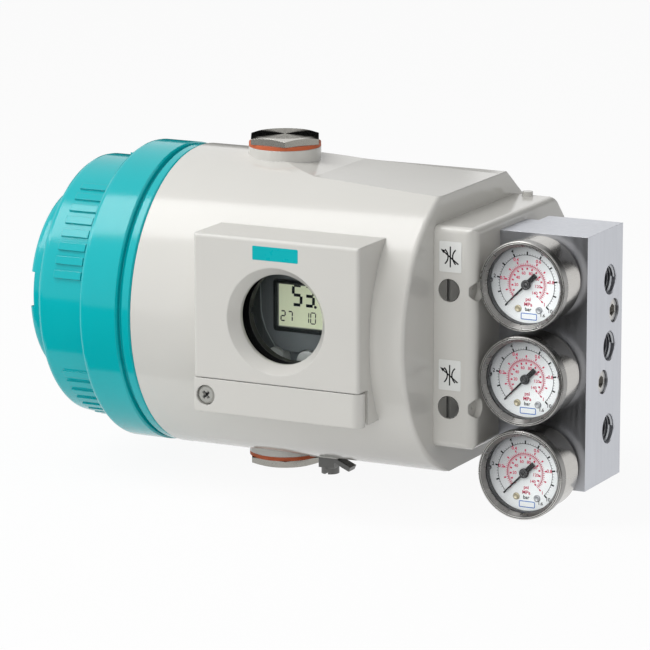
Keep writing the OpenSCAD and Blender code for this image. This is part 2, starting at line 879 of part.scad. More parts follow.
module plug_seals() {
    color("#d2401a") in_part_frame() {
        plug_ring(plug_boss_top);
        mirror([0, 0, 1]) plug_ring(plug_boss_low);
    }
}

// Earth terminal under the housing: cranked clamp and its screw
module earth_clamp() {
    z1 = earth_seat_z;
    z0 = z1 - earth_clamp_h;
    half = earth_clamp_half;
    color("#8d8f90") in_part_frame() difference() {
        union() {
            block(earth_x - half, earth_x + half, earth_y - half, earth_y + half, z0, z1);
            translate([earth_x + half, 0, z1]) rotate([0, earth_tongue_turn, 0])
                block(-earth_lap, earth_tongue, earth_y - half, earth_y + half / 2,
                    -gap - earth_tongue_t, -gap);
        }
        rod_z(z0 - cut, z1 + cut, earth_thread_r + fit, earth_x, earth_y);
    }
}
module earth_screw() {
    z1 = earth_seat_z - earth_clamp_h;
    color("#b8babc") in_part_frame() difference() {
        union() {
            rod_z(z1 - earth_head_t, z1, earth_head_r, earth_x, earth_y);
            rod_z(z1 - earth_head_t, earth_seat_z + earth_depth - cut, earth_thread_r, earth_x, earth_y);
        }
        block(earth_x - slot_w / 2, earth_x + slot_w / 2, earth_y - earth_pad, earth_y + earth_pad,
            z1 - earth_head_t - cut, z1 - earth_head_t + slot_d);
    }
}

// Feedback shaft in its bushes, with the gear train to the position sensor
module feedback_shaft() {
    tip = axis_depth + shaft_out;
    groove = shaft_r - circlip_groove;
    color("#b8babc") in_part_frame() turned_y([
        [0, shaft_y0], [shaft_r, shaft_y0], [shaft_r, circlip_y0], [groove, circlip_y0],
        [groove, circlip_y0 + circlip_t], [shaft_r, circlip_y0 + circlip_t],
        [shaft_r, axis_depth - wear_groove_w / 2], [shaft_r - wear_groove_d, axis_depth - wear_groove_w / 2],
        [shaft_r - wear_groove_d, axis_depth + wear_groove_w / 2], [shaft_r, axis_depth + wear_groove_w / 2],
        [shaft_r, tip - cut], [shaft_r - cut, tip], [0, tip]
    ], shaft_x);
}
module shaft_bushes() {
    r0 = shaft_r + fit;
    y1 = axis_depth - shaft_seal_t;
    color("#a8874a") in_part_frame() {
        turned_y([
            [r0, cavity_back - bush_flange_t], [bush_r + bush_flange_w, cavity_back - bush_flange_t],
            [bush_r + bush_flange_w, cavity_back], [bush_r, cavity_back],
            [bush_r, cavity_back + bush_len], [r0, cavity_back + bush_len]
        ], shaft_x);
        ring_y(y1 - bush_len, y1, r0, bush_r, shaft_x);
    }
}
module shaft_seal() {
    color("#202020") in_part_frame()
        ring_y(axis_depth - shaft_seal_t, axis_depth - cut / 2, shaft_r + fit, shaft_seal_r, shaft_x);
}
module shaft_circlip() {
    y1 = circlip_y0 + circlip_t;
    r1 = shaft_r + circlip_w;
    color("#606468") in_part_frame() difference() {
        ring_y(circlip_y0, y1, shaft_r - circlip_groove, r1, shaft_x);
        block(shaft_x, shaft_x + r1 + cut, circlip_y0 - cut, y1 + cut, -shaft_r / 2, shaft_r / 2);
    }
}
module drive_gear() {
    color("#e6e2d6") in_part_frame() difference() {
        slab_y(gear_y0, gear_y0 + gear_w) translate([shaft_x, 0]) polygon(gear_points(gear_teeth, gear_m));
        rod_y(gear_y0 - cut, gear_y0 + gear_w + cut, shaft_r, shaft_x);
        for (t = [45:90:315]) {
            translate([shaft_x, 0, 0]) rotate([0, t, 0])
                rod_y(gear_y0 - cut, gear_y0 + gear_w + cut, gear_hole_r, gear_hole_at);
        }
    }
}
module clutch_wheel() {
    color("#d8b020") in_part_frame() difference() {
        union() {
            rod_y(clutch_y0, clutch_y0 + clutch_t, clutch_r, shaft_x);
            rod_y(clutch_y0, gear_y0, shaft_r + bush_wall, shaft_x);
        }
        rod_y(clutch_y0 - cut, gear_y0 + cut, shaft_r, shaft_x);
        for (i = [0:clutch_notches - 1]) {
            translate([shaft_x, 0, 0]) rotate([0, i * 360 / clutch_notches, 0])
                rod_y(clutch_y0 - cut, clutch_y0 + clutch_t + cut, notch_r, clutch_r, $fn = 24);
        }
    }
}
module plate_posts() {
    for (x = [plate_x0 + post_inset, plate_x1 - post_inset], z = [-1, 1]) {
        rod_y(plate_y0, cavity_back, post_r, x, z * (plate_half_h - post_inset));
    }
    for (x = [module_x0 + post_dx, module_x1 - post_dx], z = [-1, 1]) {
        rod_y(board_y1, plate_y1, post_r, x, z * (module_h / 2 - post_inset));
    }
}
module gear_plate() {
    color("#c4c6c8") in_part_frame() {
        difference() {
            slab_y(plate_y0, plate_y1)
                chamfered_rect(plate_x0, plate_x1, -plate_half_h, plate_half_h, post_inset);
            rod_y(plate_y0 - cut, plate_y1 + cut, clutch_r + clutch_room, shaft_x);
            rod_y(plate_y0 - cut, plate_y1 + cut, pot_shaft_r + pot_room, pinion_x);
        }
        plate_posts();
    }
}
module potentiometer() {
    color("#2c4c86") in_part_frame() difference() {
        union() {
            rod_y(plate_y0 - pot_h, plate_y0, pot_r, pinion_x);
            block(pinion_x - pot_tail, pinion_x + pot_tail, plate_y0 - pot_h, plate_y0, -pot_r - pot_tail, 0);
        }
        rod_y(plate_y0 - pot_h / 2, plate_y0 + cut, pot_shaft_r + fit, pinion_x);
    }
}
module pot_pinion() {
    half_tooth = 180 / pinion_teeth;
    color("#e6e2d6") in_part_frame() {
        slab_y(gear_y0, gear_y0 + gear_w) translate([pinion_x, 0]) rotate(half_tooth)
            polygon(gear_points(pinion_teeth, gear_m));
        rod_y(plate_y0 - pot_h / 2 + gap, gear_y0 + gear_w, pot_shaft_r, pinion_x);
    }
}

// Electronics behind the window and the terminals behind the cap
module circuit_board() {
    color("#1f6b3a") in_part_frame() slab_y(board_y0, board_y1)
        chamfered_rect(module_x0 + board_edge, module_x1 - board_edge, board_edge - module_h / 2,
            module_h / 2 - board_edge, module_chamfer);
}
// The cover is a tray with a raised face; below the face the keys stand free
module module_face() {
    x0 = module_x0 + face_inset;
    x1 = module_x1 - face_inset;
    polygon([
        [x0, face_slope_z1], [x0 + face_slope_x, face_slope_z0], [x1 - face_slope_x, face_slope_z0],
        [x1, face_slope_z1], [x1, module_h / 2 - face_inset], [x0, module_h / 2 - face_inset]
    ]);
}
module module_cover() {
    w = module_wall;
    z1 = module_h / 2;
    y0 = -module_front;
    y1 = y0 + module_step;
    lcd_gap = 0.3;
    color("#2b2d2e") in_part_frame() difference() {
        union() {
            slab_y(y1, board_y0) chamfered_rect(module_x0, module_x1, -z1, z1, module_chamfer);
            slab_y(y0, y1) module_face();
        }
        slab_y(y1 + w, board_y0 + cut)
            chamfered_rect(module_x0 + w, module_x1 - w, w - z1, z1 - w, module_chamfer);
        block(lcd_x0 - lcd_gap, lcd_x0 + lcd_w + lcd_gap, y0 - cut, y1 + w + cut,
            lcd_z0 - lcd_gap, lcd_z0 + lcd_h + lcd_gap);
        for (i = [0:2]) {
            slab_y(y0 - cut, pad_room) pad_outline(i, pad_r + gap);
        }
    }
}
module display_panel() {
    y0 = lcd_sink - module_front;
    back = module_step + module_wall - module_front;
    color("#b4bf9a") in_part_frame() {
        block(lcd_x0, lcd_x0 + lcd_w, y0, back, lcd_z0, lcd_z0 + lcd_h);
        block(lcd_x0 - lcd_flange, lcd_x0 + lcd_w + lcd_flange, back, board_y0,
            lcd_z0 - lcd_flange, lcd_z0 + lcd_h + lcd_flange);
    }
}
module terminal_strip() {
    pitch = strip_h / terminals;
    y0 = plate_y0 - strip_t;
    color("#3c5a3c") in_part_frame() difference() {
        block(plate_x0 + post_inset, plate_x0 + post_inset + strip_w, y0, plate_y0,
            -strip_h / 2, strip_h / 2);
        for (i = [0:terminals - 1]) {
            z = (i + 0.5 - terminals / 2) * pitch;
            rod_y(y0 - cut, y0 + strip_t / 2, terminal_r, plate_x0 + post_inset + terminal_at, z);
            rod_x(plate_x0, plate_x0 + post_inset + strip_w / 2, terminal_r, y0 + strip_t / 3, z);
        }
    }
}
module valve_unit() {
    color("#55585c") in_part_frame() difference() {
        block(cavity_x1 - valve_w, cavity_x1, -valve_d / 2, valve_d / 2, -valve_h / 2, valve_h / 2);
        for (z = [-1, 0, 1]) {
            rod_y(-valve_d / 2 - cut, -valve_d / 4, valve_w / 4, cavity_x1 - valve_w / 2, z * valve_h / 3);
        }
    }
}

// Pneumatic connection block with two restrictor screws
// The block is what its three outlines, from above, from the end and from the front, have in common
module pneu_plan() {
    r = pneu_edge;
    rect(pneu_x0, pneu_x1 - r, -pneu_front, pneu_back);
    rect(pneu_x0, pneu_x1, r - pneu_front, pneu_back);
    translate([pneu_x1 - r, r - pneu_front]) circle(r);
}
module pneu_end() {
    r = pneu_top_edge;
    y0 = -pneu_front;
    y1 = pneu_back - pneu_corner;
    rect(y0 + r, y1, -pneu_low, pneu_top);
    rect(y0, y1, r - pneu_low, pneu_top - r);
    for (z = [r - pneu_low, pneu_top - r]) {
        translate([y0 + r, z]) circle(r);
    }
    polygon([
        [y1, -pneu_low], [pneu_back, pneu_corner - pneu_low],
        [pneu_back, pneu_top - pneu_corner], [y1, pneu_top]
    ]);
}
module pneu_face() {
    r = pneu_top_edge;
    rect(pneu_x0, pneu_x1 - r, -pneu_low, pneu_top);
    rect(pneu_x0, pneu_x1, r - pneu_low, pneu_top - r);
    for (z = [r - pneu_low, pneu_top - r]) {
        translate([pneu_x1 - r, z]) circle(r);
    }
}
module pneumatic_block() {
    color("#d3cfc8") in_part_frame() difference() {
        union() {
            intersection() {
                slab_z(-pneu_low, pneu_top) pneu_plan();
                slab_x(pneu_x0, pneu_x1) pneu_end();
                slab_y(-pneu_front, pneu_back) pneu_face();
            }
            rod_z(0, pneu_top + vent_h, vent_r, restrictor_x, vent_y);
        }
        for (z = [restrictor_z1, restrictor_z2]) {
            rod_x(side_floor, pneu_x1 + cut, side_bore_r, side_bore_in - pneu_front, z);
            rod_x(side_floor - side_hole_depth, pneu_x1, side_hole_r, side_bore_in - pneu_front, z);
        }
        for (z = [restrictor_z1, restrictor_z2]) {
            rod_y(-pneu_front - cut, restrictor_head_t + gap - pneu_front, restrictor_r + restrictor_gap,
                restrictor_x, z);
            rod_y(-pneu_front - cut, restrictor_len + gap - pneu_front, restrictor_stem_r + fit,
                restrictor_x, z);
        }
        for (z = port_zs) {
            rod_x(pneu_x0 - cut, pneu_x1 + cut, duct_r, port_y, z);
        }
        for (i = [0:1]) {
            rod_x(block_x0 - bolt_reach, block_x0 + cut, bolt_r + fit, bolt_ys[i], bolt_zs[i]);
        }
    }
}
module restrictor_screw(z) {
    y0 = -pneu_front;
    color("#b0aca6") in_part_frame() difference() {
        union() {
            rod_y(y0, y0 + restrictor_head_t, restrictor_r, restrictor_x, z);
            rod_y(y0, y0 + restrictor_len, restrictor_stem_r, restrictor_x, z);
        }
        block(restrictor_x - restrictor_slot / 2, restrictor_x + restrictor_slot / 2, y0 - cut, y0 + slot_d,
            z - restrictor_r - cut, z + restrictor_r + cut);
    }
}

// Gauge manifold with its ports, screws and seals
module gauge_block() {
    color("#aeb1b8") in_part_frame() difference() {
        slab_z(block_bottom, block_top) polygon([
            [block_x0, block_y0], [block_x1, block_y0], [block_x1, block_y1],
            [block_x0 + step_w, block_y1], [block_x0 + step_w, block_y1 - step_d],
            [block_x0, block_y1 - step_d]
        ]);
        for (z = port_zs) {
            rod_x(block_x1 - port_depth, block_x1 + cut, port_r, port_y, z);
            translate([block_x1 - port_chamfer, port_y, z]) rotate([0, 90, 0])
                cylinder(h = port_chamfer + cut, r1 = port_r, r2 = port_r + port_chamfer + cut);
            rod_x(block_x0 - cut, block_x1, duct_r, port_y, z);
        }
        for (i = [0:1]) {
            rod_x(block_x0 - cut, block_x1 + cut, bolt_r + fit, bolt_ys[i], bolt_zs[i]);
            rod_x(block_x1 - bolt_sink, block_x1 + cut, bolt_head_r + gap, bolt_ys[i], bolt_zs[i]);
        }
        for (z = port_zs) {
            rod_x(block_x0 - cut, block_x0 + 2 * port_seal_wire, port_seal_r + port_seal_wire + fit,
                port_y, z);
        }
        for (i = [0:gauges - 1]) {
            rod_y(block_y0 - cut, block_y0 + socket_len + gap, gauge_thread_r + fit,
                gauge_mid_x, gauge_at(i));
            rod_y(block_y0, port_y, duct_r, gauge_mid_x, gauge_at(i));
        }
    }
}
module gauge_block_screws() {
    x1 = block_x1 - bolt_sink + bolt_head_t;
    color("#8d8f90") in_part_frame() for (i = [0:1]) {
        difference() {
            union() {
                rod_x(block_x1 - bolt_sink, x1, bolt_head_r, bolt_ys[i], bolt_zs[i]);
                rod_x(block_x0 - bolt_reach + gap, x1, bolt_r, bolt_ys[i], bolt_zs[i]);
            }
            translate([x1 - hex_d, bolt_ys[i], bolt_zs[i]]) rotate([0, 90, 0])
                cylinder(h = hex_d + cut, r = hex_af / 2 / cos(30), $fn = 6);
        }
    }
}
module gauge_block_seals() {
    color("#202020") in_part_frame() for (z = port_zs) {
        translate([block_x0 + port_seal_wire, port_y, z]) rotate([0, 90, 0]) rotate_extrude()
            translate([port_seal_r, 0]) circle(port_seal_wire, $fn = 24);
    }
}

// Pressure gauges: case, bezel, dial, pointer, window, socket and tube
module gauge_case(i) {
    color("#b9bbbd") in_part_frame() turned_y([
        [0, case_y1], [case_r - case_round, case_y1], [case_r, case_y1 - case_round], [case_r, case_y0],
        [case_r - case_wall, case_y0], [case_r - case_wall, case_y1 - case_round - case_wall / 2],
        [case_r - case_round - case_wall / 2, case_y1 - case_wall], [0, case_y1 - case_wall]
    ], gauge_mid_x, gauge_at(i));
}
module gauge_bezel(i) {
    y0 = gauge_front;
    color("#c3c5c7") in_part_frame() turned_y([
        [bezel_r - bezel_lip - bezel_slope, y0 + glass_inset], [bezel_r - bezel_lip, y0],
        [bezel_r - bezel_edge, y0], [bezel_r, y0 + bezel_edge], [bezel_r, y0 + bezel_h],
        [case_r - case_wall, y0 + bezel_h], [case_r - case_wall, y0 + glass_inset]
    ], gauge_mid_x, gauge_at(i));
}
module gauge_dial(i) {
    color("#f2f2ee") in_part_frame()
        ring_y(dial_y0, dial_y0 + dial_t, spindle_r + dial_hole_gap, case_r - case_wall - dial_gap,
            gauge_mid_x, gauge_at(i));
}
module gauge_pointer(i) {
    color("#101010") in_part_frame() translate([gauge_mid_x, 0, gauge_at(i)]) {
        slab_y(pointer_y0, pointer_y0 + pointer_t) rotate(pointer_zero) {
            polygon([
                [0, -pointer_w / 2], [pointer_len, -pointer_w / 4],
                [pointer_len, pointer_w / 4], [0, pointer_w / 2]
            ]);
            rect(-pointer_tail, 0, -tail_w / 2, tail_w / 2);
            circle(hub_r);
        }
        rod_y(pointer_y0, dial_y0 + dial_t + spindle_back, spindle_r);
    }
}
module gauge_windows() {
    y0 = gauge_front + glass_inset;
    color("#dfe8e8", 0.3) in_part_frame() for (i = [0:gauges - 1]) {
        rod_y(y0, y0 + gauge_glass_t, case_r - case_wall - fit, gauge_mid_x, gauge_at(i));
    }
}
module gauge_sockets() {
    color("#a8874a") in_part_frame() for (i = [0:gauges - 1]) {
        rod_y(case_y1, block_y0, socket_af / 2 / cos(30), gauge_mid_x, gauge_at(i), $fn = 6);
        rod_y(case_y1, block_y0 + socket_len, gauge_thread_r, gauge_mid_x, gauge_at(i));
    }
}
module bourdon_tubes() {
    mid = case_y1 - case_wall - tube_r - tube_gap;
    color("#b08d4c") in_part_frame() for (i = [0:gauges - 1]) {
        translate([gauge_mid_x, 0, gauge_at(i)]) {
            translate([0, mid, 0]) rotate([-90, 0, 0]) rotate(tube_turn) rotate_extrude(angle = tube_sweep)
                translate([tube_ring_r, 0]) circle(tube_r, $fn = 24);
            rotate([0, tube_turn, 0]) block(0, tube_ring_r + tube_r, mid - tube_r, case_y1 - case_wall,
                -tube_r, tube_r);
        }
    }
}

main_housing();
screw_cap();
cap_seal();
window_glass();
window_seal();
window_ring();
key_cover();
key_cover_pin();
key_cover_screw();
for (i = [0:2]) {
    key_plunger(i);
    key_pad(i);
    key_spring(i);
}
plug_top();
plug_bottom();
plug_seals();
earth_clamp();
earth_screw();
feedback_shaft();
shaft_bushes();
shaft_seal();
shaft_circlip();
drive_gear();
clutch_wheel();
gear_plate();
potentiometer();
pot_pinion();
circuit_board();
module_cover();
display_panel();
terminal_strip();
pneumatic_block();
valve_unit();
restrictor_screw(restrictor_z1);  // restrictor_screw_1
restrictor_screw(restrictor_z2);  // restrictor_screw_2
gauge_block();
gauge_block_screws();
gauge_block_seals();
for (i = [0:gauges - 1]) {
    gauge_case(i);
    gauge_bezel(i);
    gauge_dial(i);
    gauge_pointer(i);
}
gauge_windows();
gauge_sockets();
bourdon_tubes();
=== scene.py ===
"""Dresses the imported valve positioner: finishes for every CAD node, printed dials, a display,
signs, thread crests and other small trim, with a white studio round it. Lengths are in metres;
the tables of sizes are in millimetres, and in_mm() or MM turns them into metres."""
import json
from math import atan2, cos, pi, radians, sin

import bmesh
import bpy
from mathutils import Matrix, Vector


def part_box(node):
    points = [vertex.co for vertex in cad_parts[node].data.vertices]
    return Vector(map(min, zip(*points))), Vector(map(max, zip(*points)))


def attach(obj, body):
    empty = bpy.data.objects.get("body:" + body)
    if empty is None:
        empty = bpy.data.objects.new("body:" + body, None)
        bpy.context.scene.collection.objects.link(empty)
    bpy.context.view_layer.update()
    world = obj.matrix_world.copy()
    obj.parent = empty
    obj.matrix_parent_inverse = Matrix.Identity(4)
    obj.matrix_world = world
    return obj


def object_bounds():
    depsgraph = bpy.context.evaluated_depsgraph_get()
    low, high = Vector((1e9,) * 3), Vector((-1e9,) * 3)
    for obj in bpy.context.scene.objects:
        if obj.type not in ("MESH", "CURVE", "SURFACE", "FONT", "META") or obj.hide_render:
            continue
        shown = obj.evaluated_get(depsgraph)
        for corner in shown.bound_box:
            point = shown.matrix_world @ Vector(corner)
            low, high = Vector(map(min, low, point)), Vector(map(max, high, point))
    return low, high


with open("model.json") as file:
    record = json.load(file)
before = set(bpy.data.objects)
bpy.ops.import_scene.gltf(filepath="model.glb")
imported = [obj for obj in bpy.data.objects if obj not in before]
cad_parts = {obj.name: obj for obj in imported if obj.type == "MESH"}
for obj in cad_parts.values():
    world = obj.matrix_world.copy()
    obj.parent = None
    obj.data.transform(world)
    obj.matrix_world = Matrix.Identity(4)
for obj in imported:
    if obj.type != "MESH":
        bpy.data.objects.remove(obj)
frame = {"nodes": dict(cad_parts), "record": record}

CAD_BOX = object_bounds()
MM = 0.001
NODES = frame["nodes"]
GAUGES = range(1, 4)
SKIN = 0.05 * MM                # how far printing stands on what carries it


# Camera: the photograph's angle, and the point that its middle shows
AZIMUTH, ELEVATION = radians(26.54), radians(12.27)
DISTANCE = 2.0
AIM = Vector((-14.4, -43.9, -14.9)) * MM
LENS, SENSOR = 241.5, 36.0      # of the camera, in millimetres
FARTHEST = 50.0                 # where its view ends


def add_camera():
    back = Vector((sin(AZIMUTH) * cos(ELEVATION), -cos(AZIMUTH) * cos(ELEVATION), sin(ELEVATION)))
    data = bpy.data.cameras.new("camera")
    data.lens, data.sensor_width, data.clip_end = LENS, SENSOR, FARTHEST
    camera = bpy.data.objects.new("camera", data)
    camera.location = AIM + back * DISTANCE
    camera.rotation_euler = back.to_track_quat("Z", "Y").to_euler()
    bpy.context.scene.collection.objects.link(camera)
    bpy.context.scene.camera = camera


# Materials
EVEN, ALONG_Z, ROUND_Y = (1, 1, 1), (1, 1, 0.06), (1, 0.05, 1)     # how grain is drawn out on x, y and z
NOISE_SPAN = (0.3, 0.7)         # the values that noise mostly keeps to
EDGE_SPAN = (0.80, 0.98)        # cosines of the rounding's turn, from a pale edge (rubbed and painted as a highlight) to a whole face
BEVEL_SAMPLES = 4
COARSER = 20                    # how many times coarser the drift in colour is than the grain
PALER = 0.45                    # how far an edge goes towards white, as rubbing and as a painted highlight
GLOSS_DRIFT = 0.15              # share of the roughness that the grain adds or takes off
PAINTED_SHEEN_SECTORS = 2                     # bright wedges of painted sheen on a plug's turned end
PAINTED_SHEEN_TURN = radians(127)      # turns the painted sheen towards the front
PAINTED_SHEEN_FADE = 1.2               # more than 1 keeps the painted sheen short of full bright and full dark
UPWARD = (0.6, 0.95)            # z of the normals between which a face becomes a plug's end and takes the painted sheen
DIAL_SHADE = (-0.75, 0.30)      # x less z, as shares of a dial's width, from the full painted shadow to none


class Nodes:
    """Short hand for one material's node tree."""

    def __init__(self, name):
        self.material = bpy.data.materials.new(name)
        self.material.use_nodes = True
        self.tree = self.material.node_tree
        self.bsdf = self.tree.nodes["Principled BSDF"]

    def add(self, kind, **settings):
        node = self.tree.nodes.new("ShaderNode" + kind)
        for key, value in settings.items():
            setattr(node, key, value)
        return node

    def join(self, source, target):
        self.tree.links.new(source, target)

    def noise(self, scale, detail=2.0, stretch=EVEN):
        """Noise over the object's own metres, drawn out along the axes."""
        mapping, noise = self.add("Mapping"), self.add("TexNoise")
        mapping.inputs["Scale"].default_value = stretch
        noise.inputs["Scale"].default_value = scale
        noise.inputs["Detail"].default_value = detail
        self.join(self.add("TexCoord").outputs["Object"], mapping.inputs["Vector"])
        self.join(mapping.outputs["Vector"], noise.inputs["Vector"])
        return noise.outputs["Fac"]

    def remap(self, value, low, high, start=NOISE_SPAN[0], end=NOISE_SPAN[1]):
        """Turns values from start to end into low to high."""
        span = self.add("MapRange")
        for key, number in (("From Min", start), ("From Max", end), ("To Min", low), ("To Max", high)):
            span.inputs[key].default_value = number
        self.join(value, span.inputs["Value"])
        return span.outputs["Result"]

    def shades(self, value, dark, light):
        """Turns values into colours between two."""
        ramp = self.add("ValToRGB")
        for stop, place, colour in zip(ramp.color_ramp.elements, NOISE_SPAN, (dark, light)):
            stop.position, stop.color = place, (*colour, 1)
        self.join(value, ramp.inputs["Fac"])
        return ramp.outputs["Color"]

    def rounded(self, radius):
        """Normals that run round the edges."""
        bevel = self.add("Bevel", samples=BEVEL_SAMPLES)
        bevel.inputs["Radius"].default_value = radius
        return bevel.outputs["Normal"]

    def edges_worn_and_highlit(self, colour, rounding, bare, share):
        """Mixes a second colour in where the rounding turns away from the face: along edges, as rubbing
        and as a painted highlight.
        """
        turn = self.add("VectorMath", operation="DOT_PRODUCT")
        self.join(rounding, turn.inputs[0])
        self.join(self.add("NewGeometry").outputs["Normal"], turn.inputs[1])
        mix = self.add("Mix", data_type="RGBA")
        self.join(self.remap(turn.outputs["Value"], share, 0.0, *EDGE_SPAN), mix.inputs["Factor"])
        self.join(colour, mix.inputs["A"])
        mix.inputs["B"].default_value = (*bare, 1)
        return mix.outputs["Result"]

    def shade(self, share, over):
        """Lays a second colour over the base colour."""
        base, mix = self.bsdf.inputs["Base Color"], self.add("Mix", data_type="RGBA")
        self.join(base.links[0].from_socket, mix.inputs["A"])
        self.join(share, mix.inputs["Factor"])
        self.join(over, mix.inputs["B"])
        self.join(mix.outputs["Result"], base)

    def relief(self, height, depth, normal):
        bump = self.add("Bump")
        bump.inputs["Distance"].default_value = depth
        self.join(height, bump.inputs["Height"])
        self.join(normal, bump.inputs["Normal"])
        self.join(bump.outputs["Normal"], self.bsdf.inputs["Normal"])

    def show(self, share, instead):
        """Shows a second shader in place of the first, by a share."""
        mix = self.add("MixShader")
        self.join(share, mix.inputs["Fac"])
        self.join(self.bsdf.outputs["BSDF"], mix.inputs[1])
        self.join(instead, mix.inputs[2])
        self.join(mix.outputs["Shader"], self.tree.nodes["Material Output"].inputs["Surface"])

    def set(self, **values):
        for key, value in values.items():
            self.bsdf.inputs[key.replace("_", " ")].default_value = value


def scaled(colour, share):
    return tuple(min(1.0, channel * share) for channel in colour)


def surface(name, colour, rough, grain, stretch, depth, edge, drift, edge_wear_and_highlight):
    """A colour that drifts a little, a fine grain in gloss and relief, and edges painted lighter: rubbed,
    and a painted highlight along them.
    """
    n = Nodes(name)
    fine = n.noise(grain, detail=2, stretch=stretch)
    rounding = n.rounded(edge)
    coarse = n.noise(grain / COARSER, detail=3, stretch=stretch)
    base = n.shades(coarse, scaled(colour, 1 - drift), scaled(colour, 1 + drift))
    # the pale edge colour: partly rubbed material, partly a painted highlight
    bare = tuple(channel + (1 - channel) * PALER for channel in colour)
    gloss = n.remap(fine, rough * (1 - GLOSS_DRIFT), rough * (1 + GLOSS_DRIFT))
    n.join(n.edges_worn_and_highlit(base, rounding, bare, edge_wear_and_highlight), n.bsdf.inputs["Base Color"])
    n.join(gloss, n.bsdf.inputs["Roughness"])
    n.relief(fine, depth, rounding)
    return n


def coated(name, colour, rough, specular=0.3, grain=500, depth=0.0015 * MM, edge=0.3 * MM,
           drift=0.03, edge_wear_and_highlight=0.1, painted_glow=0.0):
    """Paint, plastic, rubber or ink; an emission, where given, is painted light."""
    n = surface(name, colour, rough, grain, EVEN, depth, edge, drift, edge_wear_and_highlight)
    n.set(Specular_IOR_Level=specular)
    if painted_glow:
        n.set(Emission_Color=(*colour, 1), Emission_Strength=painted_glow)
    return n.material


def metal(name, colour, rough, grain=500, stretch=EVEN, depth=0.002 * MM, edge=0.2 * MM,
          drift=0.05, edge_wear_and_highlight=0.3, turn_axis=None, anisotropy=0.0):
    """Bare or plated metal, with tool marks drawn out along one way or turned about an axis."""
    n = surface(name, colour, rough, grain, stretch, depth, edge, drift, edge_wear_and_highlight)
    n.set(Metallic=1.0, Anisotropic=anisotropy)
    if turn_axis:
        tangent = n.add("Tangent", direction_type="RADIAL", axis=turn_axis)
        n.join(tangent.outputs["Tangent"], n.bsdf.inputs["Tangent"])
    return n.material


def sheen_painted_plug(name, colour, dark, bright, node):
    """Plated plug whose turned end faces carry a painted sheen: bright and dark wedges painted into the
    colour, standing in for the light on a turned face.
    """
    n = surface(name, colour, rough=0.25, grain=600, stretch=EVEN, depth=0.0003 * MM, edge=0.2 * MM,
                drift=0.05, edge_wear_and_highlight=0.3)
    n.set(Metallic=1.0)
    low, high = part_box(node)
    place, around = n.add("Mapping"), n.add("TexGradient", gradient_type="RADIAL")
    place.inputs["Location"].default_value = (-(low.x + high.x) / 2, -(low.y + high.y) / 2, 0)
    n.join(n.add("TexCoord").outputs["Object"], place.inputs["Vector"])
    n.join(place.outputs["Vector"], around.inputs["Vector"])
    turn, wave = n.add("Math", operation="MULTIPLY_ADD"), n.add("Math", operation="COSINE")
    turn.inputs[1].default_value, turn.inputs[2].default_value = 2 * pi * PAINTED_SHEEN_SECTORS, PAINTED_SHEEN_TURN
    n.join(around.outputs["Fac"], turn.inputs[0])
    n.join(turn.outputs[0], wave.inputs[0])
    # painted sheen: bright and dark wedges by angle round the plug, in place of the light on a turned face
    painted_sheen = n.shades(n.remap(wave.outputs[0], 0.0, 1.0, -PAINTED_SHEEN_FADE, PAINTED_SHEEN_FADE), dark, bright)
    facing = n.add("SeparateXYZ")
    n.join(n.add("NewGeometry").outputs["Normal"], facing.inputs["Vector"])
    n.shade(n.remap(facing.outputs["Z"], 0.0, 1.0, *UPWARD), painted_sheen)
    # the specular tint follows the same painted sheen
    n.join(painted_sheen, n.bsdf.inputs["Specular Tint"])
    return n.material


def dial_card(name, colour, shadow_colour):
    """White card with a painted shadow: it greys towards its upper left, where the bezel keeps the light
    off it.
    """
    n = surface(name, colour, rough=0.55, grain=500, stretch=EVEN, depth=0.0015 * MM, edge=0.3 * MM,
                drift=0.01, edge_wear_and_highlight=0.0)
    n.set(Specular_IOR_Level=0.2)
    spot, slope = n.add("SeparateXYZ"), n.add("Math", operation="SUBTRACT")
    n.join(n.add("TexCoord").outputs["Generated"], spot.inputs["Vector"])
    n.join(spot.outputs["X"], slope.inputs[0])
    n.join(spot.outputs["Z"], slope.inputs[1])
    # painted shadow of the bezel: darker towards the upper left
    painted_shadow = n.shades(n.noise(scale=40), scaled(shadow_colour, 0.97), scaled(shadow_colour, 1.03))
    n.shade(n.remap(slope.outputs[0], 1.0, 0.0, *DIAL_SHADE), painted_shadow)
    return n.material


def clear_glass(name, tint):
    """Bloomed glass with hardly a reflection; shadow rays pass it freely."""
    n = Nodes(name)
    smudge = n.noise(scale=60)
    n.join(n.remap(smudge, 0.0, 0.02), n.bsdf.inputs["Roughness"])
    n.join(n.shades(smudge, scaled(tint, 0.99), tint), n.bsdf.inputs["Base Color"])
    n.set(Transmission_Weight=1.0, IOR=1.12)
    n.show(n.add("LightPath").outputs["Is Shadow Ray"], n.add("BsdfTransparent").outputs["BSDF"])
    return n.material


HOUSING, TEAL = (0.66, 0.65, 0.615), (0.0, 0.44, 0.475)

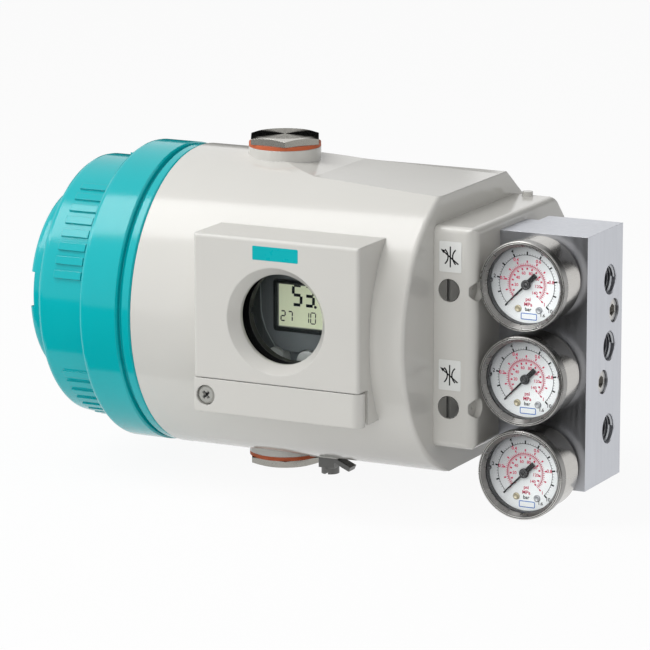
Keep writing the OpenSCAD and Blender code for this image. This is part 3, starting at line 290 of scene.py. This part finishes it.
# One finish for each material slot of the record
FINISH = {
    "housing_paint": coated("housing_paint", HOUSING, 0.14, 0.40, edge=0.9 * MM, drift=0.012, edge_wear_and_highlight=0.25),
    "cap_paint": coated("cap_paint", TEAL, 0.13, 0.36, edge=0.5 * MM, edge_wear_and_highlight=0.12),
    "rubber": coated("rubber", (0.02, 0.02, 0.02), 0.7, grain=1500, depth=0.02 * MM),
    "red_gasket": coated(
        "red_gasket", (0.58, 0.13, 0.05), 0.55, depth=0.01 * MM, edge=0.4 * MM, drift=0.12,
    ),
    "glass": clear_glass("glass", (0.98, 0.99, 0.985)),
    "zinc_steel": metal("zinc_steel", (0.56, 0.55, 0.53), 0.30, 800),
    # dark and bright are the two colours of the plug's painted sheen
    "nickel_brass": sheen_painted_plug(
        "nickel_brass", (0.36, 0.35, 0.32),
        dark=(0.10, 0.10, 0.097), bright=(0.62, 0.61, 0.58), node="plug_top",
    ),
    "clamp_steel": metal("clamp_steel", (0.40, 0.40, 0.39), 0.40, 700),
    "bronze": metal("bronze", (0.62, 0.43, 0.20), 0.30, 700),
    "ivory_plastic": coated("ivory_plastic", (0.78, 0.74, 0.62), 0.45),
    "yellow_plastic": coated("yellow_plastic", (0.72, 0.50, 0.04), 0.45),
    "blue_plastic": coated("blue_plastic", (0.03, 0.09, 0.30), 0.40),
    "board": coated("board", (0.02, 0.16, 0.06), 0.35, grain=300, drift=0.15),
    "charcoal_plastic": coated(
        "charcoal_plastic", (0.17, 0.19, 0.20), 0.38, grain=1400, edge=0.5 * MM, drift=0.08, edge_wear_and_highlight=0.2,
    ),
    "key_grey": coated("key_grey", (0.66, 0.69, 0.68), 0.45, edge=0.8 * MM),
    # the display's emission is painted light: the panel shines though it is no lamp
    "display": coated("display", (0.47, 0.51, 0.365), 0.25, 0.2, 400, edge=0.1 * MM, painted_glow=0.62),
    "green_plastic": coated("green_plastic", (0.05, 0.20, 0.08), 0.45),
    "anodised": metal(
        "anodised", (0.57, 0.585, 0.625), 0.38, 500, ALONG_Z, edge=0.25 * MM, drift=0.02, edge_wear_and_highlight=0.35,
    ),
    "stainless": metal(
        "stainless", (0.52, 0.505, 0.48), 0.24, 500, ROUND_Y, edge=0.3 * MM, turn_axis="Y", anisotropy=0.5,
    ),
    # the dial card's painted shadow goes down to this colour
    "dial_white": dial_card("dial_white", (0.78, 0.795, 0.805), shadow_colour=(0.20, 0.20, 0.21)),
    "pointer_black": coated("pointer_black", (0.012, 0.012, 0.013), 0.4),
}

# Finishes of single nodes and of the pieces made here
# the bezels' steel, darker than the cans', is darkened as painted shade
SHADED_BEZEL_STEEL = metal(
    "shaded_bezel_steel", (0.27, 0.265, 0.255), 0.30, 500, ROUND_Y, depth=0.0005 * MM, edge=0.25 * MM,
)
# the beads' steel, paler than the bezels', is a painted highlight
LIT_BEAD_STEEL = metal(
    "lit_bead_steel", (0.80, 0.79, 0.76), 0.30, 500, ROUND_Y, depth=0.0001 * MM, edge=0.02 * MM,
)
DULL_STEEL = metal("dull_steel", (0.15, 0.15, 0.145), 0.36, 700, edge=0.3 * MM, edge_wear_and_highlight=0.5)
DARK_STEEL = metal("dark_steel", (0.42, 0.42, 0.41), 0.36, 700, edge=0.3 * MM, edge_wear_and_highlight=0.4)
# its pale rim is partly rubbing and partly a painted highlight
COVER_SCREW = coated("cover_screw", (0.42, 0.42, 0.39), 0.30, 0.8, 800, edge=0.5 * MM, edge_wear_and_highlight=0.8)
DIAL_SCREW = metal("dial_screw", (0.50, 0.45, 0.33), 0.35, 900)
THREAD = metal("thread", (0.42, 0.43, 0.45), 0.35, 600)
INK = {
    "black": coated("ink_black", (0.012, 0.012, 0.014), 0.5, 0.1),
    "red": coated("ink_red", (0.47, 0.015, 0.07), 0.5, 0.1),
    "blue": coated("ink_blue", (0.08, 0.19, 0.50), 0.5, 0.1),
    "segment": coated("segment", (0.010, 0.016, 0.020), 0.4, 0.1),
}
PLATE = coated("teal_plate", TEAL, 0.3, 0.2, edge=0.15 * MM)
LABEL = coated("label_foil", (0.80, 0.81, 0.79), 0.35, edge=0.1 * MM)
# dark paint standing for shade: the gauge's inner wall, its bezel's grooves and the cross recess of the
# cover screw
SHADE_PAINT = coated("gauge_liner", (0.06, 0.06, 0.062), 0.45)
RETAINER = coated("retainer", (0.020, 0.021, 0.023), 0.5, 0.15, edge_wear_and_highlight=0.4)
# paler than the module: a painted highlight along the ridge of its window corner
RIDGE_HIGHLIGHT = coated("ridge_highlight", (0.51, 0.56, 0.58), 0.3, 0.5)
HUB = coated("pointer_hub", (0.03, 0.03, 0.032), 0.3, 0.5, edge=0.1 * MM)
LCD_FRAME = coated("lcd_frame", (0.020, 0.025, 0.027), 0.3, 0.4, 1400, edge=0.25 * MM, edge_wear_and_highlight=0.3)


def finish_nodes():
    """Gives every CAD node its slot's finish, or one of its own."""
    own = {f"gauge_bezel_{i}": SHADED_BEZEL_STEEL for i in GAUGES}
    own.update({f"restrictor_screw_{i}": DARK_STEEL for i in (1, 2)})
    own.update(window_ring=RETAINER, key_cover_screw=COVER_SCREW)
    own.update(earth_clamp=DULL_STEEL, earth_screw=DULL_STEEL)
    for row in frame["record"]["subparts"]:
        piece = NODES[row["node"]]
        piece.data.materials.clear()
        piece.data.materials.append(own.get(row["node"], FINISH[row["material_slot"]]))


# Meshes
BOLD = 0.02                     # how far a figure's outline grows, as a share of its size
TIP = 0.001                     # radius in millimetres that closes a turned top
ROUND_STEPS = 96                # steps round a gauge's bezel and liner


def object_of(name, bm, material):
    mesh = bpy.data.meshes.new(name)
    bm.to_mesh(mesh)
    bm.free()
    mesh.materials.append(material)
    made = bpy.data.objects.new(name, mesh)
    bpy.context.scene.collection.objects.link(made)
    return made


def piece_of(name, bm, material, body="housing", smooth=False):
    """Makes a piece of the part, which rides a body."""
    bmesh.ops.recalc_face_normals(bm, faces=bm.faces)
    piece = object_of(name, bm, material)
    if smooth:
        piece.data.shade_smooth()
    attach(piece, body)


def in_mm(points):
    return [(a * MM, b * MM) for a, b in points]


def plane_xz(origin):
    """Places a drawing's (x, z) on an upright plane that faces the front."""
    return lambda x, z, lift=0.0: Vector((origin[0] + x, origin[1] - lift, origin[2] + z))


def polygon(bm, points, thickness=0.0):
    """A flat face from points, or a slab that is thickness deep towards +Y."""
    near = [bm.verts.new(p) for p in points]
    bm.faces.new(near)
    if thickness:
        far = [bm.verts.new(v.co + Vector((0, thickness, 0))) for v in near]
        bm.faces.new(far)
        for i in range(len(near)):
            bm.faces.new((near[i - 1], near[i], far[i], far[i - 1]))


def stroke(bm, at, path, width):
    """A printed line of even width along (x, z) points."""
    rails = []
    for i, (x, z) in enumerate(path):
        ahead = path[min(i + 1, len(path) - 1)]
        behind = path[max(i - 1, 0)]
        turn = atan2(ahead[1] - behind[1], ahead[0] - behind[0])
        dx, dz = -sin(turn) * width / 2, cos(turn) * width / 2
        rails.append((bm.verts.new(at(x + dx, z + dz)), bm.verts.new(at(x - dx, z - dz))))
    for (a, b), (c, d) in zip(rails, rails[1:]):
        bm.faces.new((a, b, d, c))


def arc(radius, start, end, steps, centre=(0, 0)):
    """Points from one angle to another, in degrees from straight right."""
    turns = [radians(start + (end - start) * i / steps) for i in range(steps + 1)]
    return [(centre[0] + radius * cos(t), centre[1] + radius * sin(t)) for t in turns]


def rounded_box(width, height, radius, steps=5):
    """Outline of a plate with round corners, about its middle."""
    outline = []
    for sx, sz, start in ((1, 1, 0), (-1, 1, 90), (-1, -1, 180), (1, -1, 270)):
        centre = (sx * (width / 2 - radius), sz * (height / 2 - radius))
        outline += arc(radius, start, start + 90, steps, centre)
    return outline


def loops(bm, rings):
    """Skins closed rings of points, each to the next."""
    made = [[bm.verts.new(p) for p in ring] for ring in rings]
    for near, far in zip(made, made[1:]):
        for i in range(len(near)):
            j = (i + 1) % len(near)
            bm.faces.new((near[i], near[j], far[j], far[i]))


def turned(bm, profile, centre, steps):
    """A body of revolution about Y from (radius, depth) points; depth is towards the back."""
    loops(bm, [
        [centre + Vector((x, depth, z)) for x, z in arc(radius, 0, 360 - 360 / steps, steps - 1)]
        for radius, depth in profile
    ])


def number(bm, at, text, middle, size):
    """Adds a short number or unit as flat faces, centred on a point."""
    curve = bpy.data.curves.new("number", "FONT")
    curve.body, curve.size, curve.align_x, curve.align_y = text, size, "CENTER", "CENTER"
    curve.offset = size * BOLD
    holder = bpy.data.objects.new("number", curve)
    bpy.context.scene.collection.objects.link(holder)
    mesh = holder.evaluated_get(bpy.context.evaluated_depsgraph_get()).to_mesh()
    verts = [bm.verts.new(at(middle[0] + v.co.x, middle[1] + v.co.y)) for v in mesh.vertices]
    for face in mesh.polygons:
        bm.faces.new([verts[i] for i in face.vertices])
    bpy.data.objects.remove(holder)
    bpy.data.curves.remove(curve)


# Pressure gauges
DIAL_START, DIAL_END, DIAL_STEPS = 225, -45, 72             # degrees from straight right
DIAL_LINES = (("black", 13.0, 0.24), ("red", 8.5, 0.26))    # colour, radius, width
DIAL_TICKS = (                  # colour, inner and outer radius, count, width
    ("black", 13.0, 13.7, 50, 0.16),
    ("black", 13.0, 14.5, 10, 0.7),
    ("red", 7.6, 8.5, 70, 0.2),
    ("red", 6.5, 7.4, 14, 0.75),
    ("red", 8.5, 9.4, 50, 0.22),
    ("red", 9.6, 10.6, 10, 0.65),
)
DIAL_FIGURES = (                # colour, figures, radius, size
    ("black", ("2", "4", "6", "8", "10"), 15.6, 2.3),
    ("red", ("0.2", "0.4", "0.6", "0.8", "1"), 11.7, 2.1),
    ("red", ("20", "40", "60", "80", "100", "120", "140"), 5.1, 1.9),
)
DIAL_WORDS = (                  # colour, word, x, z, size
    ("red", "psi", 0.6, -6.6, 2.3),
    ("red", "MPa", 0.6, -8.9, 2.3),
    ("black", "bar", 0.6, -11.1, 2.3),
    ("black", "1.6", 7.4, -13.2, 2.0),
)
DIAL_SCREWS = (("left", -4.1, "bronze", DIAL_SCREW), ("right", 5.8, "zinc_steel", THREAD))
DIAL_SCREW_Z = -11.0
DIAL_SCREW_PROFILE = (
    (1.6, 0), (1.55, -0.35), (1.2, -0.6), (0.9, -0.62), (0.8, -0.35), (0.4, -0.3), (TIP, -0.3),
)
GLASS_DEPTH = 3.3               # from the bezel's front to the back of the glass
STOP_X, STOP_Z = -17.2, 0.6
STOP_PROFILE = ((1.0, 0), (1.0, -1.0), (0.7, -1.3), (TIP, -1.35))
GROOVES = ((18.56, 18.70), (19.10, 19.30))                  # inner and outer radius of each ring of painted shade in a groove
BEADS, BEAD_HALF, BEAD_HEIGHT, BEAD_STEPS = (18.9, 19.6), 0.2, 0.15, 6
HUB_PROFILE = (
    (2.15, 0.1), (2.15, -0.3), (1.8, -0.5), (1.35, -0.5), (1.15, -0.25), (0.75, -0.25), (0.65, -0.4),
    (TIP, -0.42),
)


def dial_spot(radius, share):
    """The (x, z) point at a radius, some share of the way along the scale."""
    turn = radians(DIAL_START + (DIAL_END - DIAL_START) * share)
    return (radius * cos(turn), radius * sin(turn))


def ticks(bm, at, inner, outer, count, width):
    for i in range(count + 1):
        stroke(bm, at, [dial_spot(inner, i / count), dial_spot(outer, i / count)], width)


def figures(bm, at, marks, radius, size):
    for i, mark in enumerate(marks, 1):
        number(bm, at, mark, dial_spot(radius, i / len(marks)), size)


def print_dial(index, centre):
    at = plane_xz(centre + Vector((0, -SKIN, 0)))
    ink = {"black": bmesh.new(), "red": bmesh.new()}
    for colour, radius, width in DIAL_LINES:
        stroke(ink[colour], at, arc(radius * MM, DIAL_START, DIAL_END, DIAL_STEPS), width * MM)
    for colour, inner, outer, count, width in DIAL_TICKS:
        ticks(ink[colour], at, inner * MM, outer * MM, count, width * MM)
    for colour, marks, radius, size in DIAL_FIGURES:
        figures(ink[colour], at, marks, radius * MM, size * MM)
    for colour, word, x, z, size in DIAL_WORDS:
        number(ink[colour], at, word, (x * MM, z * MM), size * MM)
    for colour, bm in ink.items():
        piece_of(f"dial_{colour}_{index}", bm, INK[colour])


def maker_box(index, centre):
    """Outline of the small box at the foot of a dial, which is left bare."""
    width, height, corner, line = 7.3 * MM, 2.6 * MM, 0.4 * MM, 0.4 * MM
    at = plane_xz(centre + Vector((1.0 * MM, -SKIN, -14.2 * MM)))
    outline = rounded_box(width, height, corner)
    bm = bmesh.new()
    stroke(bm, at, outline + outline[:2], line)
    piece_of(f"dial_box_{index}", bm, INK["blue"])


def dial_screws(index, centre):
    for side, x, slot, finish in DIAL_SCREWS:
        bm = bmesh.new()
        spot = centre + Vector((x, 0, DIAL_SCREW_Z)) * MM
        turned(bm, in_mm(DIAL_SCREW_PROFILE), spot, steps=24)
        piece_of(f"dial_screw_{side}_{index}", bm, finish, smooth=True)


def gauge_liner(index, centre, front):
    """Wall between the glass and the dial, with the pointer's stop on its left, both dark as painted
    shade.
    """
    glass_back = GLASS_DEPTH * MM - (centre.y - front)
    wall, bore, foot = 17.85 * MM, 17.1 * MM, -0.1 * MM
    bm = bmesh.new()
    turned(bm, [(wall, 0), (wall, glass_back), (bore, glass_back), (bore, foot)], centre, ROUND_STEPS)
    turned(bm, in_mm(STOP_PROFILE), centre + Vector((STOP_X, 0, STOP_Z)) * MM, steps=24)
    piece_of(f"gauge_liner_{index}", bm, SHADE_PAINT)


def bezel_lines(index, centre, front):
    """Two rolled beads on the bezel's front, in steel painted paler as a highlight, the inner one between
    flat dark rings painted as the shade in its grooves.
    """
    face = Vector((centre.x, front, centre.z))
    grooves, bead = bmesh.new(), bmesh.new()
    for inner, outer in GROOVES:
        turned(grooves, [(inner * MM, -SKIN), (outer * MM, -SKIN)], face, ROUND_STEPS)
    half_turn = [pi * k / BEAD_STEPS for k in range(BEAD_STEPS + 1)]
    for radius in BEADS:
        profile = [(radius + BEAD_HALF * cos(t), -BEAD_HEIGHT * sin(t)) for t in half_turn]
        turned(bead, in_mm(profile), face, ROUND_STEPS)
    piece_of(f"bezel_groove_shade_{index}", grooves, SHADE_PAINT)
    piece_of(f"bezel_bead_{index}", bead, LIT_BEAD_STEEL, smooth=True)


def pointer_hub(index, centre):
    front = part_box(f"gauge_pointer_{index}")[0].y
    bm = bmesh.new()
    turned(bm, in_mm(HUB_PROFILE), Vector((centre.x, front, centre.z)), steps=32)
    piece_of(f"pointer_hub_{index}", bm, HUB, f"pointer_{index}", smooth=True)


def dress_gauge(index):
    low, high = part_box(f"gauge_dial_{index}")
    centre = Vector(((low.x + high.x) / 2, low.y, (low.z + high.z) / 2))
    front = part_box(f"gauge_bezel_{index}")[0].y
    print_dial(index, centre)
    maker_box(index, centre)
    dial_screws(index, centre)
    gauge_liner(index, centre, front)
    bezel_lines(index, centre, front)
    pointer_hub(index, centre)


# Display behind the window
SEGMENTS = {
    "a": ((0.08, 1.0), (0.92, 1.0)), "b": ((1.0, 0.94), (1.0, 0.55)), "c": ((1.0, 0.45), (1.0, 0.06)),
    "d": ((0.08, 0.0), (0.92, 0.0)), "e": ((0.0, 0.45), (0.0, 0.06)), "f": ((0.0, 0.94), (0.0, 0.55)),
    "g": ((0.08, 0.5), (0.92, 0.5)),
}
DIGITS = {"0": "abcdef", "1": "bc", "2": "abged", "3": "abgcd", "5": "afgcd", "7": "abc"}
DIGIT_LEAN = 0.06
DISPLAY_ROWS = (                # digits, lower left corner, width and height of one, pitch, bar
    ("53", (7.0, 10.2), 4.0, 8.8, 6.2, 1.4),
    ("27", (1.0, 2.4), 2.0, 4.4, 3.6, 0.6),
    ("10", (12.4, 2.2), 2.4, 5.0, 3.4, 0.5),
)
POINT, POINT_R = (18.2, 9.9), 0.7
LCD_FLANGE = 2 * MM             # how far the panel's hidden flange stands out round the glass
LCD_STEPS = ((5.0, 1.6, 0.0), (4.6, 1.5, 0.5), (1.8, 0.9, 0.6), (0.7, 0.4, 0.0))   # growth, corner, lift
RIDGE = ((0.9, 31), (0.9, 10), (1.2, 2), (1.9, -1.4), (3.6, -6.5), (6.5, -11.3), (8.6, -14.3))


def digits(bm, at, text, corner, width, height, pitch, bar):
    for i, sign in enumerate(text):
        left, foot = corner[0] + i * pitch, corner[1]
        for key in DIGITS[sign]:
            path = [(left + (x + DIGIT_LEAN * z) * width, foot + z * height) for x, z in SEGMENTS[key]]
            stroke(bm, at, in_mm(path), bar * MM)


def print_display(low):
    at = plane_xz((low.x + LCD_FLANGE, low.y - SKIN, low.z + LCD_FLANGE))
    bm = bmesh.new()
    for row in DISPLAY_ROWS:
        digits(bm, at, *row)
    polygon(bm, [at(x, z) for x, z in in_mm(arc(POINT_R, 0, 330, 11, POINT))])
    piece_of("display_digits", bm, INK["segment"])


def lcd_frame(low, high):
    """Raised dark frame round the display's glass."""
    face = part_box("module_cover")[0].y
    at = plane_xz(((low.x + high.x) / 2, face, (low.z + high.z) / 2))
    wide, tall = high.x - low.x - 2 * LCD_FLANGE, high.z - low.z - 2 * LCD_FLANGE
    bm = bmesh.new()
    loops(bm, [
        [at(x, z, lift * MM) for x, z in rounded_box(wide + grow * MM, tall + grow * MM, corner * MM)]
        for grow, corner, lift in LCD_STEPS
    ])
    piece_of("lcd_frame", bm, LCD_FRAME)


def dress_display():
    low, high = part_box("display_panel")
    print_display(low)
    lcd_frame(low, high)


def module_trim():
    """Dark apron left of the module, and a light line painted as the highlight on the ridge round its
    window corner.
    """
    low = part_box("module_cover")[0]
    wide, tall, corner, thick, drop = 24 * MM, 64 * MM, 3 * MM, 1.2 * MM, 4 * MM
    at = plane_xz((low.x - wide / 2, low.y + drop, 0))
    bm = bmesh.new()
    polygon(bm, [at(x, z) for x, z in rounded_box(wide, tall, corner)], thick)
    piece_of("module_apron", bm, FINISH["charcoal_plastic"])
    # a painted highlight along the ridge
    line = 0.5 * MM
    bm = bmesh.new()
    stroke(bm, plane_xz((low.x, low.y - SKIN, 0)), in_mm(RIDGE), line)
    piece_of("module_ridge_highlight", bm, RIDGE_HIGHLIGHT)


def screw_cross():
    """Shade on the floor of the cover screw's cross recess."""
    low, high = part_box("key_cover_screw")
    recess, reach, width = 1.05 * MM, 1.4 * MM, 0.9 * MM
    at = plane_xz(((low.x + high.x) / 2, low.y + recess, (low.z + high.z) / 2))
    bm = bmesh.new()
    for lean in (1, -1):
        stroke(bm, at, [(-reach, -reach * lean), (reach, reach * lean)], width)
    piece_of("screw_cross", bm, SHADE_PAINT, "key_flap")


# Plates and signs on the front
PLATE_WIDE, PLATE_TALL, PLATE_CORNER = 22.2, 6.2, 0.5
PLATE_SHIFT, PLATE_Z = -0.2, 38.4                           # from the window's middle, above the axis
PLATE_STEPS = ((0, -0.2), (0, 0.0), (0.2, 0.05))            # how much smaller, and how far in front
LABEL_WIDE, LABEL_TALL, LABEL_CORNER, LABEL_T = 10.6, 13.6, 0.6, 0.15
LABEL_SHIFT = 0.6                                           # from the restrictor screw's middle
LABEL_RISES = {1: 15.0, 2: 14.6}                            # above each restrictor screw
SIGN_LINE = 0.6
SIGN_BAR = ((0, -4.6), (0, 4.6))
SIGN_SHAFT = ((3.9, -3.1), (-3.2, 2.2))
SIGN_ARROW = ((-4.6, 3.3), (-3.4, 1.4), (-2.4, 2.7))
SIGN_BENDS = ((-5.3, -50, 50), (5.3, 130, 230))             # x of the middle, start and end in degrees
SIGN_BEND_R = 4.2


def teal_plate():
    """The bare plate above the window."""
    low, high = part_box("window_glass")
    box_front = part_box("key_cover")[0].y
    at = plane_xz(((low.x + high.x) / 2 + PLATE_SHIFT * MM, box_front, PLATE_Z * MM))
    rings = []
    for cut, lift in PLATE_STEPS:
        outline = rounded_box((PLATE_WIDE - cut) * MM, (PLATE_TALL - cut) * MM, PLATE_CORNER * MM)
        rings.append([at(x, z, lift * MM) for x, z in outline])
    bm = bmesh.new()
    loops(bm, rings)
    polygon(bm, rings[-1])
    piece_of("teal_plate", bm, PLATE)


def throttle_sign(index, rise):
    """Label with the pneumatic sign for an adjustable throttle, above a restrictor screw."""
    low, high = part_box(f"restrictor_screw_{index}")
    x, z = (low.x + high.x) / 2 + LABEL_SHIFT * MM, (low.z + high.z) / 2 + rise * MM
    middle = Vector((x, low.y - LABEL_T * MM, z))
    at, over = plane_xz(middle), plane_xz(middle + Vector((0, -SKIN, 0)))
    outline = rounded_box(LABEL_WIDE * MM, LABEL_TALL * MM, LABEL_CORNER * MM)
    foil, ink = bmesh.new(), bmesh.new()
    polygon(foil, [at(*point) for point in outline], LABEL_T * MM)
    bends = [arc(SIGN_BEND_R, start, end, 12, (side, 0)) for side, start, end in SIGN_BENDS]
    for path in (SIGN_BAR, *bends, SIGN_SHAFT):
        stroke(ink, over, in_mm(path), SIGN_LINE * MM)
    polygon(ink, [over(*point) for point in in_mm(SIGN_ARROW)])
    piece_of(f"throttle_label_{index}", foil, LABEL)
    piece_of(f"throttle_sign_{index}", ink, INK["black"])


# Thread crests in the air ports
PITCH, CREST, INSET = 1.34 * MM, 0.75 * MM, 1.0 * MM
TURNS, TURN_STEPS = 8, 40
ROOT_HALF, CREST_HALF = 0.45, 0.08                          # half widths, as shares of the pitch


def port_threads():
    for mount in frame["record"]["mounts"]:
        if mount["kind"] != "threaded_hole":
            continue
        centre = Vector(mount["pos_m"])
        root = mount["dims"]["r_mm"] * MM - SKIN
        top = root - CREST
        mouth = centre.x + mount["dims"]["length_mm"] * MM / 2 - INSET
        profile = ((ROOT_HALF, root), (CREST_HALF, top), (-CREST_HALF, top), (-ROOT_HALF, root))
        rails, bm = [], bmesh.new()
        for i in range(TURNS * TURN_STEPS + 1):
            turn, x = 2 * pi * i / TURN_STEPS, mouth - PITCH * i / TURN_STEPS
            rails.append([
                bm.verts.new((x + shift * PITCH, centre.y + r * cos(turn), centre.z + r * sin(turn)))
                for shift, r in profile
            ])
        for a, b in zip(rails, rails[1:]):
            for k in range(len(profile) - 1):
                bm.faces.new((a[k], b[k], b[k + 1], a[k + 1]))
        piece_of("thread_" + mount["name"], bm, THREAD)


# Studio
MIDDLE = Vector((0, -0.06, 0))  # where the lamps point
WHITE = (1, 1, 1, 1)
WORLD_LEVEL = 0.36
LAMPS = (                       # name, way to it, distance, size, power
    ("top_light", (-0.48, -0.33, 0.81), 1.3, (0.5, 1.25), 11.0),
    ("front_light", (0.10, -0.92, 0.37), 1.4, (1.0, 0.8), 5.0),
)
FLOOR_SIDE, FLOOR_DROP = 3.0, 1 * MM                        # half its width; below the part
FLOOR_DARK, FLOOR_LIGHT = (0.86, 0.86, 0.86), (0.88, 0.88, 0.88)
FLOOR_WHITE = 0.93              # share of plain white seen in it; the rest keeps the shadow
FLAG_BLACK = (0.02, 0.02, 0.02)
FLAGS = (                       # name, left and right x, (y, z) of its foot and head
    ("back_flag", 0.10, 1.20, (1.2, 0.24), (0.7, 1.3)),
    ("low_flag", -1.60, -0.31, (0.8, -0.078), (0.8, 0.265)),
    ("front_flag", -0.07, 0.40, (-0.16, -0.078), (-0.36, 0.40)),
    ("floor_flag", -1.20, -0.07, (-0.16, -0.077), (-0.62, -0.05)),
)


def lamp(name, way, distance, size, power):
    """Soft box that stands some way off and faces the part."""
    data = bpy.data.lights.new(name, "AREA")
    data.shape, data.size, data.size_y, data.energy = "RECTANGLE", size[0], size[1], power
    light = bpy.data.objects.new(name, data)
    light.location = MIDDLE + Vector(way).normalized() * distance
    light.rotation_euler = Vector(way).to_track_quat("Z", "Y").to_euler()
    bpy.context.scene.collection.objects.link(light)


def seen_directly(tree):
    """1 for camera, mirror and glass rays, so that they all meet the same white."""
    path = tree.nodes.new("ShaderNodeLightPath")
    value = path.outputs["Is Camera Ray"]
    for key in ("Is Glossy Ray", "Is Transmission Ray"):
        more = tree.nodes.new("ShaderNodeMath")
        more.operation, more.use_clamp = "ADD", True
        tree.links.new(value, more.inputs[0])
        tree.links.new(path.outputs[key], more.inputs[1])
        value = more.outputs[0]
    return value


def add_world():
    world = bpy.data.worlds.new("studio")
    bpy.context.scene.world = world
    world.use_nodes = True
    tree = world.node_tree
    light, white = tree.nodes["Background"], tree.nodes.new("ShaderNodeBackground")
    for background, strength in ((light, WORLD_LEVEL), (white, 1.0)):
        background.inputs["Color"].default_value = WHITE
        background.inputs["Strength"].default_value = strength
    mix = tree.nodes.new("ShaderNodeMixShader")
    tree.links.new(seen_directly(tree), mix.inputs["Fac"])
    tree.links.new(light.outputs[0], mix.inputs[1])
    tree.links.new(white.outputs[0], mix.inputs[2])
    tree.links.new(mix.outputs[0], tree.nodes["World Output"].inputs["Surface"])


def sheet(name, corners, material):
    """A flat stage piece, which is not part of the object."""
    bm = bmesh.new()
    polygon(bm, corners)
    piece = object_of(name, bm, material)
    return piece


def add_floor():
    n = Nodes("floor")
    n.join(n.shades(n.noise(scale=3), FLOOR_DARK, FLOOR_LIGHT), n.bsdf.inputs["Base Color"])
    n.set(Roughness=0.9, Specular_IOR_Level=0.0)
    share = n.add("Math", operation="MULTIPLY")
    share.inputs[1].default_value = FLOOR_WHITE
    n.join(seen_directly(n.tree), share.inputs[0])
    n.show(share.outputs[0], n.add("Emission").outputs["Emission"])
    level = CAD_BOX[0][2] - FLOOR_DROP
    corners = ((-1, -1), (1, -1), (1, 1), (-1, 1))
    sheet("floor", [(x * FLOOR_SIDE, y * FLOOR_SIDE, level) for x, y in corners], n.material)


def add_flag(name, left, right, foot, head):
    """Black card that only mirror rays meet, so that gloss and metal have something dark to show."""
    black = coated(name, FLAG_BLACK, 0.9, 0.0)
    flag = sheet(name, [(left, *foot), (right, *foot), (right, *head), (left, *head)], black)
    flag.visible_camera = flag.visible_diffuse = flag.visible_shadow = flag.visible_transmission = False


def add_studio():
    add_world()
    for row in LAMPS:
        lamp(*row)
    add_floor()
    for row in FLAGS:
        add_flag(*row)


add_camera()
finish_nodes()
for gauge in GAUGES:
    dress_gauge(gauge)
dress_display()
module_trim()
screw_cross()
teal_plate()
for screw, rise in LABEL_RISES.items():
    throttle_sign(screw, rise)
port_threads()
add_studio()
bpy.context.scene.view_settings.view_transform = "Standard"
